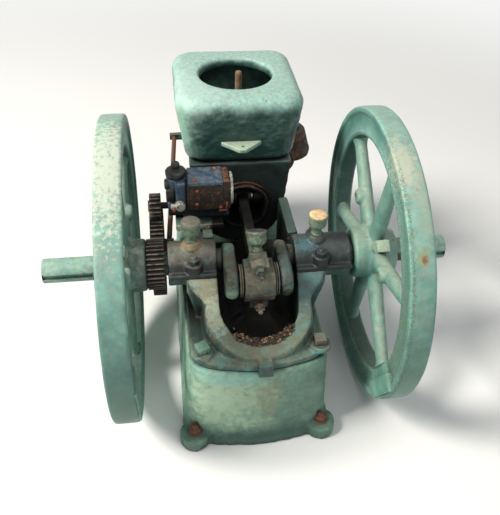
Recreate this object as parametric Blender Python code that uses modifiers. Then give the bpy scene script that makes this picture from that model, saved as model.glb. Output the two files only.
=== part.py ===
"""Hopper-cooled stationary gas engine: an open-crank horizontal engine with two spoked flywheels.

Lengths are metres. Every piece is placed from the middle of the crankshaft axis: +X runs along the shaft
to the right-hand flywheel, +Y runs from the open crankcase to the cylinder head, and +Z is up. The whole
engine is then raised so that its sub-base stands on z = 0.
"""

import math

import bmesh
import bpy
from mathutils import Euler, Matrix, Vector

# Clearances: bolted or pressed seats, shafts in their bearings, and turning pieces beside fixed ones
SEAT_GAP = 0.0003
BORE_GAP = 0.0006
TURN_GAP = 0.0053

# Crankshaft and flywheels
SHAFT_RADIUS = 0.0205
SHAFT_PROJECTION = 0.094
FLYWHEEL_RADIUS = 0.254
FLOOR_CLEARANCE = 0.016
WHEEL_FROM_CENTRE = 0.216
RIM_WIDTH = 0.0394
RIM_DEPTH = 0.052
RIM_LIP = 0.011
RIM_RECESS = 0.0028
RIM_CHAMFER = 0.004
SPOKE_COUNT = 6
SPOKE_HUB_RADIUS = 0.018
SPOKE_RIM_RADIUS = 0.0135
SPOKE_FLATNESS = 0.78
HUB_RADIUS = 0.045
HUB_NOSE_RADIUS = 0.038
HUB_INBOARD = 0.040
HUB_OUTBOARD = 0.036
HUB_SPLIT = 0.003
KEY_WIDTH = 0.010
KEY_HEIGHT = 0.012
KEY_PROJECTION = 0.012
LEFT_SPOKE_PHASE = math.radians(30.0)
RIGHT_SPOKE_PHASE = math.radians(45.0)
HUB_BEAD_PROUD = 0.003
HUB_BEAD_WIDTH = 0.006
HUB_BEAD_FROM_END = 0.016
SCREW_FROM_SPOKE = math.radians(90.0)
SCREW_FROM_NOSE = 0.015
SCREW_BOSS_RADIUS = 0.015
SCREW_BOSS_HEIGHT = 0.010
SCREW_HEAD = 0.020
SCREW_HEAD_HEIGHT = 0.014
PAD_FROM_SPOKE = math.radians(169.0)
PAD_INNER_RADIUS = 0.198
PAD_STEP_RADIUS = 0.219
PAD_OUTER_RADIUS = 0.240
PAD_INNER_HALF_WIDTH = 0.048
PAD_OUTER_HALF_WIDTH = 0.060
PAD_PROUD = 0.004
SPOKE_BOSS_AT = 0.098
SPOKE_BOSS_RADIUS = 0.012
SPOKE_BOSS_PROUD = 0.005
SPOKE_BOSS_HOLE = 0.004

# Timing and magneto gears
GEAR_MODULE = 0.00254
CRANK_TEETH = 32
CAM_TEETH = 64
MAGNETO_TEETH = 16
ADDENDUM = 0.95
DEDENDUM = 1.20
TOOTH_TIP = 0.10
TOOTH_ROOT = 0.36
CRANK_GEAR_WIDTH = 0.029
CAM_GEAR_WIDTH = 0.024
PINION_WIDTH = 0.020
CAM_DIRECTION = math.radians(-27.8)
CAM_WEB_RECESS = 0.007
CAM_HUB_RADIUS = 0.024
CAM_RIM_DEPTH = 0.012
CAM_LENGTH = 0.018
CAM_BASE_RADIUS = 0.021
CAM_LIFT = 0.009
CAM_STUD_RADIUS = 0.012
CAM_BOSS_RADIUS = 0.022
CAM_BOSS_PROUD = 0.014

# Crank throw, rod and piston
PIT_WIDTH = 0.132
CYLINDER_OFFSET = 0.006
THROW = 0.05715
WEB_THICKNESS = 0.022
WEB_PLAY = 0.010
WEB_RADIUS = 0.029
JOURNAL_LENGTH = 0.036
SHAFT_SPLIT = 0.001
PIN_RADIUS = 0.0205
ROD_SIDE_PLAY = 0.009
ROD_LENGTH = 0.250
ROD_EYE_RADIUS = 0.034
ROD_LUG_HEIGHT = 0.044
ROD_LUG_WIDTH = 0.030
ROD_LUG_DEPTH = 0.020
ROD_SHANK_HEIGHT = 0.036
ROD_SHANK_END_HEIGHT = 0.024
ROD_SHANK_WIDTH = 0.018
ROD_FLUTE = 0.006
SMALL_END_RADIUS = 0.019
SMALL_END_WIDTH = 0.034
WRIST_PIN_RADIUS = 0.011
BORE_RADIUS = 0.050
PISTON_GAP = 0.0006
PISTON_WALL = 0.007
PISTON_LENGTH = 0.115
CROWN_THICKNESS = 0.012
SKIRT_BEHIND_PIN = 0.042

# Crankcase frame and main bearings
BASE_BELOW_CRANK = 0.100
FLANGE_THICKNESS = 0.013
WALL = 0.018
PIT_FLOOR = 0.008
PIT_TAIL = 0.138
PIT_BEND = 0.078
TAIL_WALL = 0.020
WALL_FLARE = 0.010
TAIL_FLARE = 0.005
RAIL_TOP = 0.015
RIM_START_DROP = 0.022
RIM_END_DROP = 0.072
FLANGE_INSET = 0.005
FLANGE_FROM_BLOCK = 0.004
BARREL_RADIUS = 0.038
SADDLE_HALF_DEPTH = 0.046
PEDESTAL_WIDTH = 0.052
PEDESTAL_FOOT_WIDTH = 0.034
PEDESTAL_SHOULDER_DROP = 0.030
EAR_HEIGHT = 0.021
CUP_FROM_PIT = 0.041
CUP_BOSS_RADIUS = 0.011
CUP_BOSS_PROUD = 0.003
TAIL_LUG_WIDTH = 0.022
TAIL_LUG_DEPTH = 0.013

# Sub-base
BASE_HALF_WIDTH = 0.118
BASE_REAR = 0.148
BASE_FRONT = 0.350
BASE_BULGE = 0.024
BASE_CORNER = 0.030
BASE_FLARE = 0.008
BASE_LIP_PROUD = 0.004
BASE_LIP_HEIGHT = 0.009
LUG_RADIUS = 0.026
LUG_HEIGHT = 0.024
LUG_OUT = 0.012
LUG_INSET = 0.008
LUG_HOLE_RADIUS = 0.0075

# Cylinder block, hopper and head
BLOCK_FACE = 0.158
BLOCK_LENGTH = 0.242
BLOCK_TOP = 0.0957
BLOCK_TOP_HALF_WIDTH = 0.094
BLOCK_HALF_WIDTH = 0.084
BLOCK_FLANGE = 0.007
BLOCK_FLANGE_THICKNESS = 0.016
BLOCK_FLANGE_DROP = 0.002
BLOCK_FOOT_WIDTH = 0.150
BLOCK_FOOT_DEPTH = 0.060
BLOCK_FOOT_HEIGHT = 0.034
HOPPER_TOP = 0.223
HOPPER_CENTRE = 0.271
HOPPER_HALF_WIDTH = 0.119
HOPPER_HALF_DEPTH = 0.121
HOPPER_BOTTOM_HALF_WIDTH = 0.099
HOPPER_BOTTOM_HALF_DEPTH = 0.109
HOPPER_WALL = 0.009
HOPPER_CROWN = 0.018
HOPPER_ROUNDING = 0.028
HOPPER_MOUTH_RADIUS = 0.0677
HOPPER_DISH_WIDTH = 0.008
HOPPER_DISH_DEPTH = 0.006
HOPPER_STUD_RADIUS = 0.0065
EAR_LUG_HALF_WIDTH = 0.034
EAR_LUG_PROUD = 0.022
EAR_LUG_THICKNESS = 0.009
EAR_LUG_HEIGHT = 0.136
EAR_LUG_HOLE = 0.003
HEAD_THICKNESS = 0.042
HEAD_HALF_WIDTH = 0.086
HEAD_CORNER = 0.030
HEAD_BELOW = 0.098

# Valve gear, exhaust and fuel
ROCKER_DROP = 0.020
ROCKER_THICKNESS = 0.014
ROCKER_STANDOFF = 0.030
ROCKER_DEPTH = 0.016
ROCKER_PIVOT_X = -0.050
ROCKER_PIN_RADIUS = 0.005
ROCKER_OVERHANG = 0.010
BRACKET_WALL = 0.007
VALVE_X = 0.022
VALVE_STEM_RADIUS = 0.0045
VALVE_COLLAR_RADIUS = 0.012
SPRING_WIRE = 0.0013
SPRING_TURNS = 5
PUSH_ROD_RADIUS = 0.005
PUSH_ROD_END_X = -0.116
GUIDE_Y = 0.330
GUIDE_THICKNESS = 0.010
EXHAUST_PORT_DROP = 0.084
EXHAUST_PIPE_RADIUS = 0.0175
EXHAUST_REACH = 0.0465
EXHAUST_BEND = 0.022
POT_RADIUS = 0.048
POT_TOP_RADIUS = 0.033
POT_HEIGHT = 0.077
MIXER_X = -0.030
MIXER_DROP = 0.072
MIXER_RADIUS = 0.019
MIXER_LENGTH = 0.040
FUEL_PIPE_RADIUS = 0.004
FUEL_INLET_DROP = 0.150
PLUG_X = 0.050
PLUG_RISE = 0.045

# Grease cups
CUP_STEM_RADIUS = 0.007
CUP_RADIUS = 0.0165
CUP_STEM_HEIGHT = 0.021
CUP_HEIGHT = 0.024
ROD_CUP_TILT = math.radians(25.0)
ROD_CUP_REACH = 0.049
ROD_CUP_STEM_HEIGHT = 0.011

# Magneto
MAGNETO_LEFT = 0.136
MAGNETO_RIGHT = 0.028
MAGNETO_BARREL_RADIUS = 0.026
MAGNETO_TOP = 0.112
MAGNETO_FRONT = 0.070
MAGNETO_BACK = 0.120
POLE_BLOCK_LEFT = 0.103
POLE_BLOCK_DEPTH = 0.020
POLE_BLOCK_BOTTOM = 0.058
COVER_THICKNESS = 0.0035
END_PLATE_THICKNESS = 0.006
END_PLATE_RADIUS = 0.029
CAP_RADIUS = 0.018
CAP_HEIGHT = 0.012
CAP_X = 0.118
BRACKET_THICKNESS = 0.010
BRACKET_INSET = 0.012
BRACKET_BEHIND = 0.016
BRACKET_WEB_INSET = 0.010
BRACKET_WEB_FROM_FRONT = 0.020
BRACKET_WEB_THICKNESS = 0.012
BRACKET_WEB_DEPTH = 0.024
BRACKET_WEB_GAP = 0.004
TERMINAL_RADIUS = 0.006
PINION_SHAFT_RADIUS = 0.006

# Facets
ROUND = 20
BEARING_ROUND = 32
RIM_ROUND = 64

# Sizes and places that follow from those above
CRANK_HEIGHT = FLYWHEEL_RADIUS + FLOOR_CLEARANCE
BASE_HEIGHT = CRANK_HEIGHT - BASE_BELOW_CRANK
HUB_FACE = WHEEL_FROM_CENTRE - HUB_INBOARD
PIT_LEFT = CYLINDER_OFFSET - PIT_WIDTH / 2
PIT_RIGHT = CYLINDER_OFFSET + PIT_WIDTH / 2
CRANK_GEAR_OUTER = HUB_FACE - SEAT_GAP
CRANK_GEAR_INNER = CRANK_GEAR_OUTER - CRANK_GEAR_WIDTH
CAM_GEAR_OUTER = HUB_FACE - TURN_GAP
CAM_GEAR_INNER = CAM_GEAR_OUTER - CAM_GEAR_WIDTH
BEARING_LEFT_END = CRANK_GEAR_INNER - TURN_GAP
BEARING_RIGHT_END = HUB_FACE - TURN_GAP
SHAFT_END = WHEEL_FROM_CENTRE + HUB_OUTBOARD + SHAFT_PROJECTION
JOURNAL_LEFT = PIT_LEFT - JOURNAL_LENGTH
JOURNAL_RIGHT = PIT_RIGHT + JOURNAL_LENGTH
PIN_LENGTH = PIT_WIDTH - 2 * (WEB_PLAY + WEB_THICKNESS)
ROD_WIDTH = PIN_LENGTH - 2 * ROD_SIDE_PLAY
CAM_DISTANCE = GEAR_MODULE * (CRANK_TEETH + CAM_TEETH) / 2
CAM_Y = CAM_DISTANCE * math.cos(CAM_DIRECTION)
CAM_Z = CAM_DISTANCE * math.sin(CAM_DIRECTION)
MAGNETO_Z = CAM_Z + GEAR_MODULE * (CAM_TEETH + MAGNETO_TEETH) / 2
WRIST_Y = ROD_LENGTH - THROW
BLOCK_END = BLOCK_FACE + BLOCK_LENGTH
HEAD_FACE = BLOCK_END + SEAT_GAP + HEAD_THICKNESS
ROCKER_Y = HEAD_FACE + ROCKER_STANDOFF
BRACKET_REACH = ROCKER_Y + ROCKER_DEPTH / 2 + 0.004
FRAME_FRONT = BLOCK_FACE - SEAT_GAP
BASE_TOP = -BASE_BELOW_CRANK
FRAME_FOOT = BASE_TOP + SEAT_GAP
CRANK_Y = (FLYWHEEL_RADIUS - BRACKET_REACH) / 2

# Turns that lay a shape made along Z on another axis
TURNED_ON = {"X": (math.pi / 2, 0, math.pi / 2), "Y": (-math.pi / 2, 0, 0), "Z": (0, 0, 0)}
PLATE_ON = {"X": (math.pi / 2, 0, math.pi / 2), "Y": (math.pi / 2, 0, 0), "Z": (0, 0, 0)}

# Colour, roughness and metallic value of each finish
FINISHES = {
    "teal_paint": ((0.16, 0.32, 0.29), 0.60, 0.0),
    "worn_iron": ((0.13, 0.11, 0.10), 0.75, 0.6),
    "rusty_iron": ((0.16, 0.08, 0.05), 0.85, 0.2),
    "bright_steel": ((0.45, 0.45, 0.44), 0.35, 1.0),
    "aluminium": ((0.50, 0.53, 0.58), 0.45, 1.0),
    "black_moulding": ((0.02, 0.02, 0.02), 0.55, 0.0),
    "brass": ((0.55, 0.38, 0.14), 0.40, 1.0),
}


def clear_scene():
    for obj in list(bpy.data.objects):
        bpy.data.objects.remove(obj, do_unlink=True)


def collection_named(name):
    found = bpy.data.collections.get(name)
    if found is None:
        found = bpy.data.collections.new(name)
        bpy.context.scene.collection.children.link(found)
    return found


def parts_collection():
    return collection_named("stationary_gas_engine")


def pivot(name, location, parent=None, turn=0.0):
    """An empty that carries pieces; a turning body's empty stands on its joint's axis."""
    empty = bpy.data.objects.new(name, None)
    empty.location = location
    empty.rotation_euler = (0, 0, turn)
    empty.parent = parent
    parts_collection().objects.link(empty)
    return empty


def finished(obj, finish):
    colour, roughness, metallic = FINISHES[finish]
    material = bpy.data.materials.new(obj.name + "_" + finish)
    material.use_nodes = True
    shader = material.node_tree.nodes["Principled BSDF"]
    shader.inputs["Base Color"].default_value = (*colour, 1.0)
    shader.inputs["Roughness"].default_value = roughness
    shader.inputs["Metallic"].default_value = metallic
    obj.data.materials.clear()
    obj.data.materials.append(material)
    return obj


def placed(name, mesh, centre, rotation, parent):
    obj = bpy.data.objects.new(name, mesh)
    obj.location = centre
    obj.rotation_euler = rotation
    obj.parent = parent
    parts_collection().objects.link(obj)
    return obj


def mesh_from(name, bm):
    mesh = bpy.data.meshes.new(name)
    bm.to_mesh(mesh)
    bm.free()
    mesh.shade_smooth()
    mesh.set_sharp_from_angle(angle=math.radians(35))
    return mesh


def box(name, low, high, parent):
    low = Vector(low)
    high = Vector(high)
    bm = bmesh.new()
    bmesh.ops.create_cube(bm, size=1.0)
    bmesh.ops.scale(bm, vec=high - low, verts=bm.verts)
    return placed(name, mesh_from(name, bm), (low + high) / 2, (0, 0, 0), parent)


def cylinder(name, radius, start, end, parent, segments=ROUND, end_radius=None):
    """A round bar, or a cone frustum when it has an end radius, from one point to another.

    Its facets are turned half a step, so that no corner lies on a plane that splits it in two.
    """
    start = Vector(start)
    along = Vector(end) - start
    bm = bmesh.new()
    bmesh.ops.create_cone(
        bm,
        cap_ends=True,
        segments=segments,
        radius1=radius,
        radius2=radius if end_radius is None else end_radius,
        depth=along.length,
    )
    half_step = Matrix.Rotation(math.pi / segments, 3, "Z")
    bmesh.ops.rotate(bm, verts=bm.verts, cent=(0, 0, 0), matrix=half_step)
    rotation = along.to_track_quat("Z", "Y").to_euler()
    return placed(name, mesh_from(name, bm), start + along / 2, rotation, parent)


def turned(name, profile, axis, centre, parent, segments=ROUND, ring=False):
    """A turned solid: its profile of (radius, height) points runs down the outer side, top to bottom."""
    count = len(profile)
    edges = [(i, i + 1) for i in range(count - 1)]
    if ring:
        edges.append((count - 1, 0))
    mesh = bpy.data.meshes.new(name)
    mesh.from_pydata([(radius, 0, height) for radius, height in profile], edges, [])
    obj = placed(name, mesh, centre, TURNED_ON[axis], parent)
    screw = obj.modifiers.new("turn", "SCREW")
    screw.axis = "Z"
    screw.steps = segments
    screw.render_steps = segments
    screw.use_merge_vertices = True
    screw.merge_threshold = 0.00001
    screw.use_smooth_shade = True
    return obj


def plate(name, outline, thickness, axis, centre, parent):
    """A flat outline extruded to half its thickness either side of its centre, as a welded mesh."""
    curve = bpy.data.curves.new(name, "CURVE")
    curve.dimensions = "2D"
    curve.fill_mode = "BOTH"
    curve.extrude = thickness / 2
    spline = curve.splines.new("POLY")
    spline.points.add(len(outline) - 1)
    for point, (across, up) in zip(spline.points, outline):
        point.co = (across, up, 0, 1)
    spline.use_cyclic_u = True
    return meshed(name, curve, centre, PLATE_ON[axis], parent)


def pipe(name, points, radius, parent, sides=2):
    """A round bar that follows a line of points."""
    curve = bpy.data.curves.new(name, "CURVE")
    curve.dimensions = "3D"
    curve.bevel_depth = radius
    curve.bevel_resolution = sides
    curve.use_fill_caps = True
    spline = curve.splines.new("POLY")
    spline.points.add(len(points) - 1)
    for point, place in zip(spline.points, points):
        point.co = (*place, 1)
    return meshed(name, curve, (0, 0, 0), (0, 0, 0), parent)


def meshed(name, curve, centre, rotation, parent):
    guide = bpy.data.objects.new(name + "_outline", curve)
    parts_collection().objects.link(guide)
    graph = bpy.context.evaluated_depsgraph_get()
    mesh = bpy.data.meshes.new_from_object(guide.evaluated_get(graph))
    bpy.data.objects.remove(guide, do_unlink=True)
    bm = bmesh.new()
    bm.from_mesh(mesh)
    bmesh.ops.remove_doubles(bm, verts=bm.verts, dist=0.00001)
    bmesh.ops.recalc_face_normals(bm, faces=bm.faces)
    return placed(name, mesh_from(name, bm), centre, rotation, parent)


def as_tool(obj):
    """Takes a shape out of the engine's pieces: it only joins or cuts one of them."""
    for holder in list(obj.users_collection):
        holder.objects.unlink(obj)
    collection_named("cutters").objects.link(obj)
    obj.hide_render = True
    obj.display_type = "WIRE"
    return obj


def boolean(target, operation, tools):
    for tool in tools:
        modifier = target.modifiers.new(operation.lower(), "BOOLEAN")
        modifier.operation = operation
        modifier.solver = "EXACT"
        modifier.object = as_tool(tool)
    return target


def joined(target, *tools):
    return boolean(target, "UNION", tools)


def cut(target, *tools):
    return boolean(target, "DIFFERENCE", tools)


def arc(centre, radius, start, end, steps):
    """Points on an arc in the outline's own plane, between two angles in degrees."""
    angles = [math.radians(start + (end - start) * i / steps) for i in range(steps + 1)]
    return [(centre[0] + radius * math.cos(a), centre[1] + radius * math.sin(a)) for a in angles]


def stadium(near, far, radius, steps=10):
    """A bar outline with round ends, centred on two points of the outline's first axis."""
    return arc((far, 0), radius, -90, 90, steps) + arc((near, 0), radius, 90, 270, steps)


def rounded_rectangle(low, high, corner, steps=4):
    right = high[0] - corner
    left = low[0] + corner
    top = high[1] - corner
    bottom = low[1] + corner
    points = arc((right, top), corner, 0, 90, steps)
    points += arc((left, top), corner, 90, 180, steps)
    points += arc((left, bottom), corner, 180, 270, steps)
    return points + arc((right, bottom), corner, 270, 360, steps)


def base_outline(inset, front, front_corner):
    """Plan of the sub-base: round corners, and an end that bulges towards the open crankcase."""
    half = BASE_HALF_WIDTH - inset
    rear = -BASE_REAR + inset
    corner = BASE_CORNER - inset / 2
    points = arc((half - front_corner, front - front_corner), front_corner, 0, 90, 4)
    points += arc((front_corner - half, front - front_corner), front_corner, 90, 180, 4)
    points += arc((corner - half, rear + corner), corner, 180, 270, 5)
    points += [(-half + corner + (half - corner) * i / 4, rear) for i in range(1, 8)]
    points += arc((half - corner, rear + corner), corner, 270, 360, 5)
    bulged = []
    for x, y in points:
        if y < rear + corner:
            y -= BASE_BULGE * (1 - (x / half) ** 2)
        bulged.append((x, y))
    return bulged


def pit_outline(half_width, tail, front):
    """Plan of the crankcase: straight sides and a round tail about the cylinder's line."""
    points = [(CYLINDER_OFFSET + half_width, front), (CYLINDER_OFFSET - half_width, front)]
    for i in range(17):
        angle = math.pi * (1 + i / 16)
        x = CYLINDER_OFFSET + half_width * math.cos(angle)
        points.append((x, -PIT_BEND + (tail - PIT_BEND) * math.sin(angle)))
    return points


def gear_outline(teeth, phase):
    """Straight-flanked teeth on the pitch circle, the first one centred on the phase angle."""
    pitch_radius = GEAR_MODULE * teeth / 2
    tip = pitch_radius + ADDENDUM * GEAR_MODULE
    root = pitch_radius - DEDENDUM * GEAR_MODULE
    step = 2 * math.pi / teeth
    corners = ((root, -TOOTH_ROOT), (tip, -TOOTH_TIP), (tip, TOOTH_TIP), (root, TOOTH_ROOT))
    points = []
    for i in range(teeth):
        for radius, share in corners:
            angle = phase + (i + share) * step
            points.append((radius * math.cos(angle), radius * math.sin(angle)))
    return points


def meshing_phase(driver_teeth, driver_phase, direction, driven_teeth):
    """Phase of a gear that has a gap where its driver, lying back along the direction, has a tooth."""
    driver_step = 2 * math.pi / driver_teeth
    driven_step = 2 * math.pi / driven_teeth
    offset = (direction - driver_phase) / driver_step
    return direction + math.pi + (offset + 0.5) * driven_step


def sub_base(engine):
    """Box that draws in towards its top, with a lip round its foot and four bolt lugs."""
    floor = BASE_TOP - BASE_HEIGHT
    lip_top = floor + BASE_LIP_HEIGHT
    spread = BASE_FLARE + BASE_LIP_PROUD
    bm = bmesh.new()
    rings = []
    below = floor - BASE_LIP_HEIGHT
    for grow, z in ((spread, below), (spread, lip_top), (BASE_FLARE, lip_top), (0.0, BASE_TOP)):
        outline = base_outline(-grow, BASE_FRONT + grow, BASE_CORNER)
        rings.append([bm.verts.new((x, y, z)) for x, y in outline])
    for lower, upper in zip(rings, rings[1:]):
        for i in range(len(lower)):
            bm.faces.new((lower[i - 1], lower[i], upper[i], upper[i - 1]))
    bm.faces.new(tuple(reversed(rings[0])))
    bm.faces.new(rings[-1])
    bmesh.ops.triangulate(bm, faces=bm.faces)
    body = placed("sub_base", mesh_from("sub_base", bm), (0, 0, 0), (0, 0, 0), engine)
    lugs = []
    holes = []
    for x in (LUG_INSET - BASE_HALF_WIDTH, BASE_HALF_WIDTH - LUG_INSET):
        for y in (-BASE_REAR - LUG_OUT, BASE_FRONT + LUG_OUT):
            bottom = (x, y, floor - LUG_HEIGHT)
            top = (x, y, floor + 2 * LUG_HEIGHT)
            lugs.append(cylinder("lug", LUG_RADIUS, bottom, (x, y, floor + LUG_HEIGHT), engine))
            holes.append(cylinder("lug_hole", LUG_HOLE_RADIUS, bottom, top, engine, 16))
    joined(body, *lugs)
    reach = 2 * BASE_FRONT
    ground = box("ground", (-reach, -reach, floor - 2 * LUG_HEIGHT), (reach, reach, floor), engine)
    cut(body, ground, *holes)
    return finished(body, "teal_paint")


def frame_walls(engine):
    """The U-shaped wall of the crankcase, its foot spread and its rim sloping down to the tail."""
    foot = FRAME_FOOT + FLANGE_THICKNESS / 2
    height = RAIL_TOP - foot
    outline = pit_outline(PIT_WIDTH / 2 + WALL, PIT_TAIL + TAIL_WALL, FRAME_FRONT)
    walls = plate("crankcase_frame", outline, height, "Z", (0, 0, foot + height / 2), engine)
    half = PIT_WIDTH / 2 + WALL
    for vertex in walls.data.vertices:
        if vertex.co.z < 0:
            vertex.co.x += (vertex.co.x - CYLINDER_OFFSET) * WALL_FLARE / half
            if vertex.co.y < 0:
                vertex.co.y *= 1 + TAIL_FLARE / (PIT_TAIL + TAIL_WALL)
    beyond = PIT_TAIL + 3 * TAIL_WALL
    slope = (RIM_END_DROP - RIM_START_DROP) / (PIT_TAIL + TAIL_WALL - SADDLE_HALF_DEPTH)
    low = RIM_START_DROP + slope * (beyond - SADDLE_HALF_DEPTH)
    above = RAIL_TOP + 2 * BARREL_RADIUS
    edge = 0.004 - SADDLE_HALF_DEPTH
    outline = [(edge, above), (edge, -RIM_START_DROP), (-beyond, -low), (-beyond, above)]
    cut(walls, plate("rim_slope", outline, 4 * half, "X", (CYLINDER_OFFSET, 0, 0), engine))
    return walls


def saddle(engine, pit_face, end):
    """Lower half of a main bearing on its pedestal, whose side slopes in to the flange."""
    side = math.copysign(1.0, end)
    root = pit_face - side * WALL / 2
    barrel = cylinder("barrel", BARREL_RADIUS, (root, 0, 0), (end, 0, 0), engine, BEARING_ROUND)
    outer = pit_face + side * PEDESTAL_WIDTH
    foot_x = pit_face + side * PEDESTAL_FOOT_WIDTH
    foot = FRAME_FOOT + FLANGE_THICKNESS / 2
    outline = [
        (root, foot),
        (foot_x, foot),
        (outer, -PEDESTAL_SHOULDER_DROP),
        (outer, EAR_HEIGHT),
        (root, EAR_HEIGHT),
    ]
    pedestal = plate("pedestal", outline, 2 * SADDLE_HALF_DEPTH, "Y", (0, 0, 0), engine)
    return [pedestal, barrel]


def frame_flange(engine):
    """Foot flange that bolts down on the sub-base and follows its outline."""
    outline = base_outline(FLANGE_INSET, FRAME_FRONT - FLANGE_FROM_BLOCK, FLANGE_INSET)
    centre = (0, 0, FRAME_FOOT + FLANGE_THICKNESS / 2)
    return plate("flange", outline, FLANGE_THICKNESS, "Z", centre, engine)


def crankcase_frame(engine):
    frame = frame_walls(engine)
    joined(frame, frame_flange(engine))
    joined(frame, *saddle(engine, PIT_LEFT, -BEARING_LEFT_END))
    joined(frame, *saddle(engine, PIT_RIGHT, BEARING_RIGHT_END))
    boss_root = (PIT_LEFT - WALL / 2, CAM_Y, CAM_Z)
    boss_face = (PIT_LEFT - WALL - CAM_BOSS_PROUD, CAM_Y, CAM_Z)
    joined(frame, cylinder("cam_boss", CAM_BOSS_RADIUS, boss_root, boss_face, engine))
    tail = -PIT_TAIL - TAIL_WALL
    low = (CYLINDER_OFFSET - TAIL_LUG_WIDTH / 2, tail - TAIL_LUG_DEPTH, FRAME_FOOT + FLANGE_THICKNESS / 2)
    high = (CYLINDER_OFFSET + TAIL_LUG_WIDTH / 2, tail + TAIL_WALL / 2, FRAME_FOOT + 2 * FLANGE_THICKNESS)
    joined(frame, box("tail_lug", low, high, engine))
    reach = 2 * BEARING_RIGHT_END
    above = (reach, SADDLE_HALF_DEPTH + SEAT_GAP, 2 * BARREL_RADIUS)
    below = (-reach, -SADDLE_HALF_DEPTH - SEAT_GAP, 0)
    bore = cylinder(
        "main_bore",
        SHAFT_RADIUS + BORE_GAP,
        (-reach, 0, 0),
        (reach, 0, 0),
        engine,
        BEARING_ROUND,
    )
    pit_height = RAIL_TOP + 2 * BARREL_RADIUS
    bottom = FRAME_FOOT + PIT_FLOOR
    outline = pit_outline(PIT_WIDTH / 2, PIT_TAIL, FRAME_FRONT + WALL)
    pit = plate("pit", outline, pit_height - bottom, "Z", (0, 0, (pit_height + bottom) / 2), engine)
    cut(frame, box("cap_space", below, above, engine), bore, pit)
    return finished(frame, "teal_paint")


def main_bearing_cap(engine, name, pit_face, end, cup_x):
    low = (min(pit_face, end), -SADDLE_HALF_DEPTH, SEAT_GAP)
    high = (max(pit_face, end), SADDLE_HALF_DEPTH, EAR_HEIGHT)
    cap = box(name, low, high, engine)
    barrel = cylinder("barrel", BARREL_RADIUS, (pit_face, 0, 0), (end, 0, 0), engine, BEARING_ROUND)
    crown = BARREL_RADIUS + CUP_BOSS_PROUD
    boss = cylinder("boss", CUP_BOSS_RADIUS, (cup_x, 0, 0), (cup_x, 0, crown), engine)
    joined(cap, barrel, boss)
    bore_start = (pit_face - (end - pit_face), 0, 0)
    bore_end = (end + (end - pit_face), 0, 0)
    bore = cylinder("bore", SHAFT_RADIUS + BORE_GAP, bore_start, bore_end, engine, BEARING_ROUND)
    reach = 2 * BEARING_RIGHT_END
    under = box("under", (-reach, -reach, -reach), (reach, reach, SEAT_GAP), engine)
    cut(cap, bore, under)
    return finished(cap, "worn_iron")


def cup_profile(stem_height):
    top = stem_height + CUP_HEIGHT
    lid = top - 0.005
    return [
        (0, top),
        (CUP_RADIUS - 0.001, top),
        (CUP_RADIUS, top - 0.001),
        (CUP_RADIUS, lid),
        (CUP_RADIUS - 0.0015, lid - 0.001),
        (CUP_RADIUS - 0.002, stem_height + 0.008),
        (CUP_STEM_RADIUS + 0.003, stem_height),
        (CUP_STEM_RADIUS, stem_height - 0.002),
        (CUP_STEM_RADIUS, 0),
        (0, 0),
    ]


def grease_cup(engine, name, x):
    seat = BARREL_RADIUS + CUP_BOSS_PROUD + SEAT_GAP
    cup = turned(name, cup_profile(CUP_STEM_HEIGHT), "Z", (x, 0, seat), engine)
    return finished(cup, "teal_paint")


def rod_grease_cup(engine):
    """Leans with the boss on the rod's big end."""
    out = ROD_CUP_REACH + SEAT_GAP
    centre = (CYLINDER_OFFSET, out * math.sin(ROD_CUP_TILT) - THROW, out * math.cos(ROD_CUP_TILT))
    cup = turned("rod_grease_cup", cup_profile(ROD_CUP_STEM_HEIGHT), "Z", centre, engine)
    cup.rotation_euler = (-ROD_CUP_TILT, 0, 0)
    return finished(cup, "teal_paint")


def crank_throw(engine):
    """Webs, crank pin and the two journals, at the dead centre away from the head."""
    pin_start = CYLINDER_OFFSET - PIN_LENGTH / 2
    pin_end = CYLINDER_OFFSET + PIN_LENGTH / 2
    outline = stadium(-THROW, 0, WEB_RADIUS)
    left_x = pin_start - WEB_THICKNESS / 2
    right_x = pin_end + WEB_THICKNESS / 2
    throw = plate("crank_throw", outline, WEB_THICKNESS, "X", (left_x, 0, 0), engine)
    right_web = plate("right_web", outline, WEB_THICKNESS, "X", (right_x, 0, 0), engine)
    pin = cylinder(
        "crank_pin",
        PIN_RADIUS,
        (left_x, -THROW, 0),
        (right_x, -THROW, 0),
        engine,
        BEARING_ROUND,
    )
    left = cylinder("left_journal", SHAFT_RADIUS, (JOURNAL_LEFT, 0, 0), (left_x, 0, 0), engine, BEARING_ROUND)
    right = cylinder("right_journal", SHAFT_RADIUS, (right_x, 0, 0), (JOURNAL_RIGHT, 0, 0), engine, BEARING_ROUND)
    joined(throw, pin, right_web, left, right)
    return finished(throw, "worn_iron")


def big_end_outline(face, direction):
    """Half of the big end in side view, with flat lugs above and below its round body."""
    lug = face + direction * ROD_LUG_DEPTH
    start = 0 if direction > 0 else 180
    reach = math.degrees(math.asin(ROD_LUG_DEPTH / ROD_EYE_RADIUS))
    points = [(face, -ROD_LUG_HEIGHT), (lug, -ROD_LUG_HEIGHT)]
    bottom = start - direction * (90 - reach)
    top = start + direction * (90 - reach)
    points += arc((-THROW, 0), ROD_EYE_RADIUS, bottom, top, 8)
    points += [(lug, ROD_LUG_HEIGHT), (face, ROD_LUG_HEIGHT)]
    return points


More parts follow.
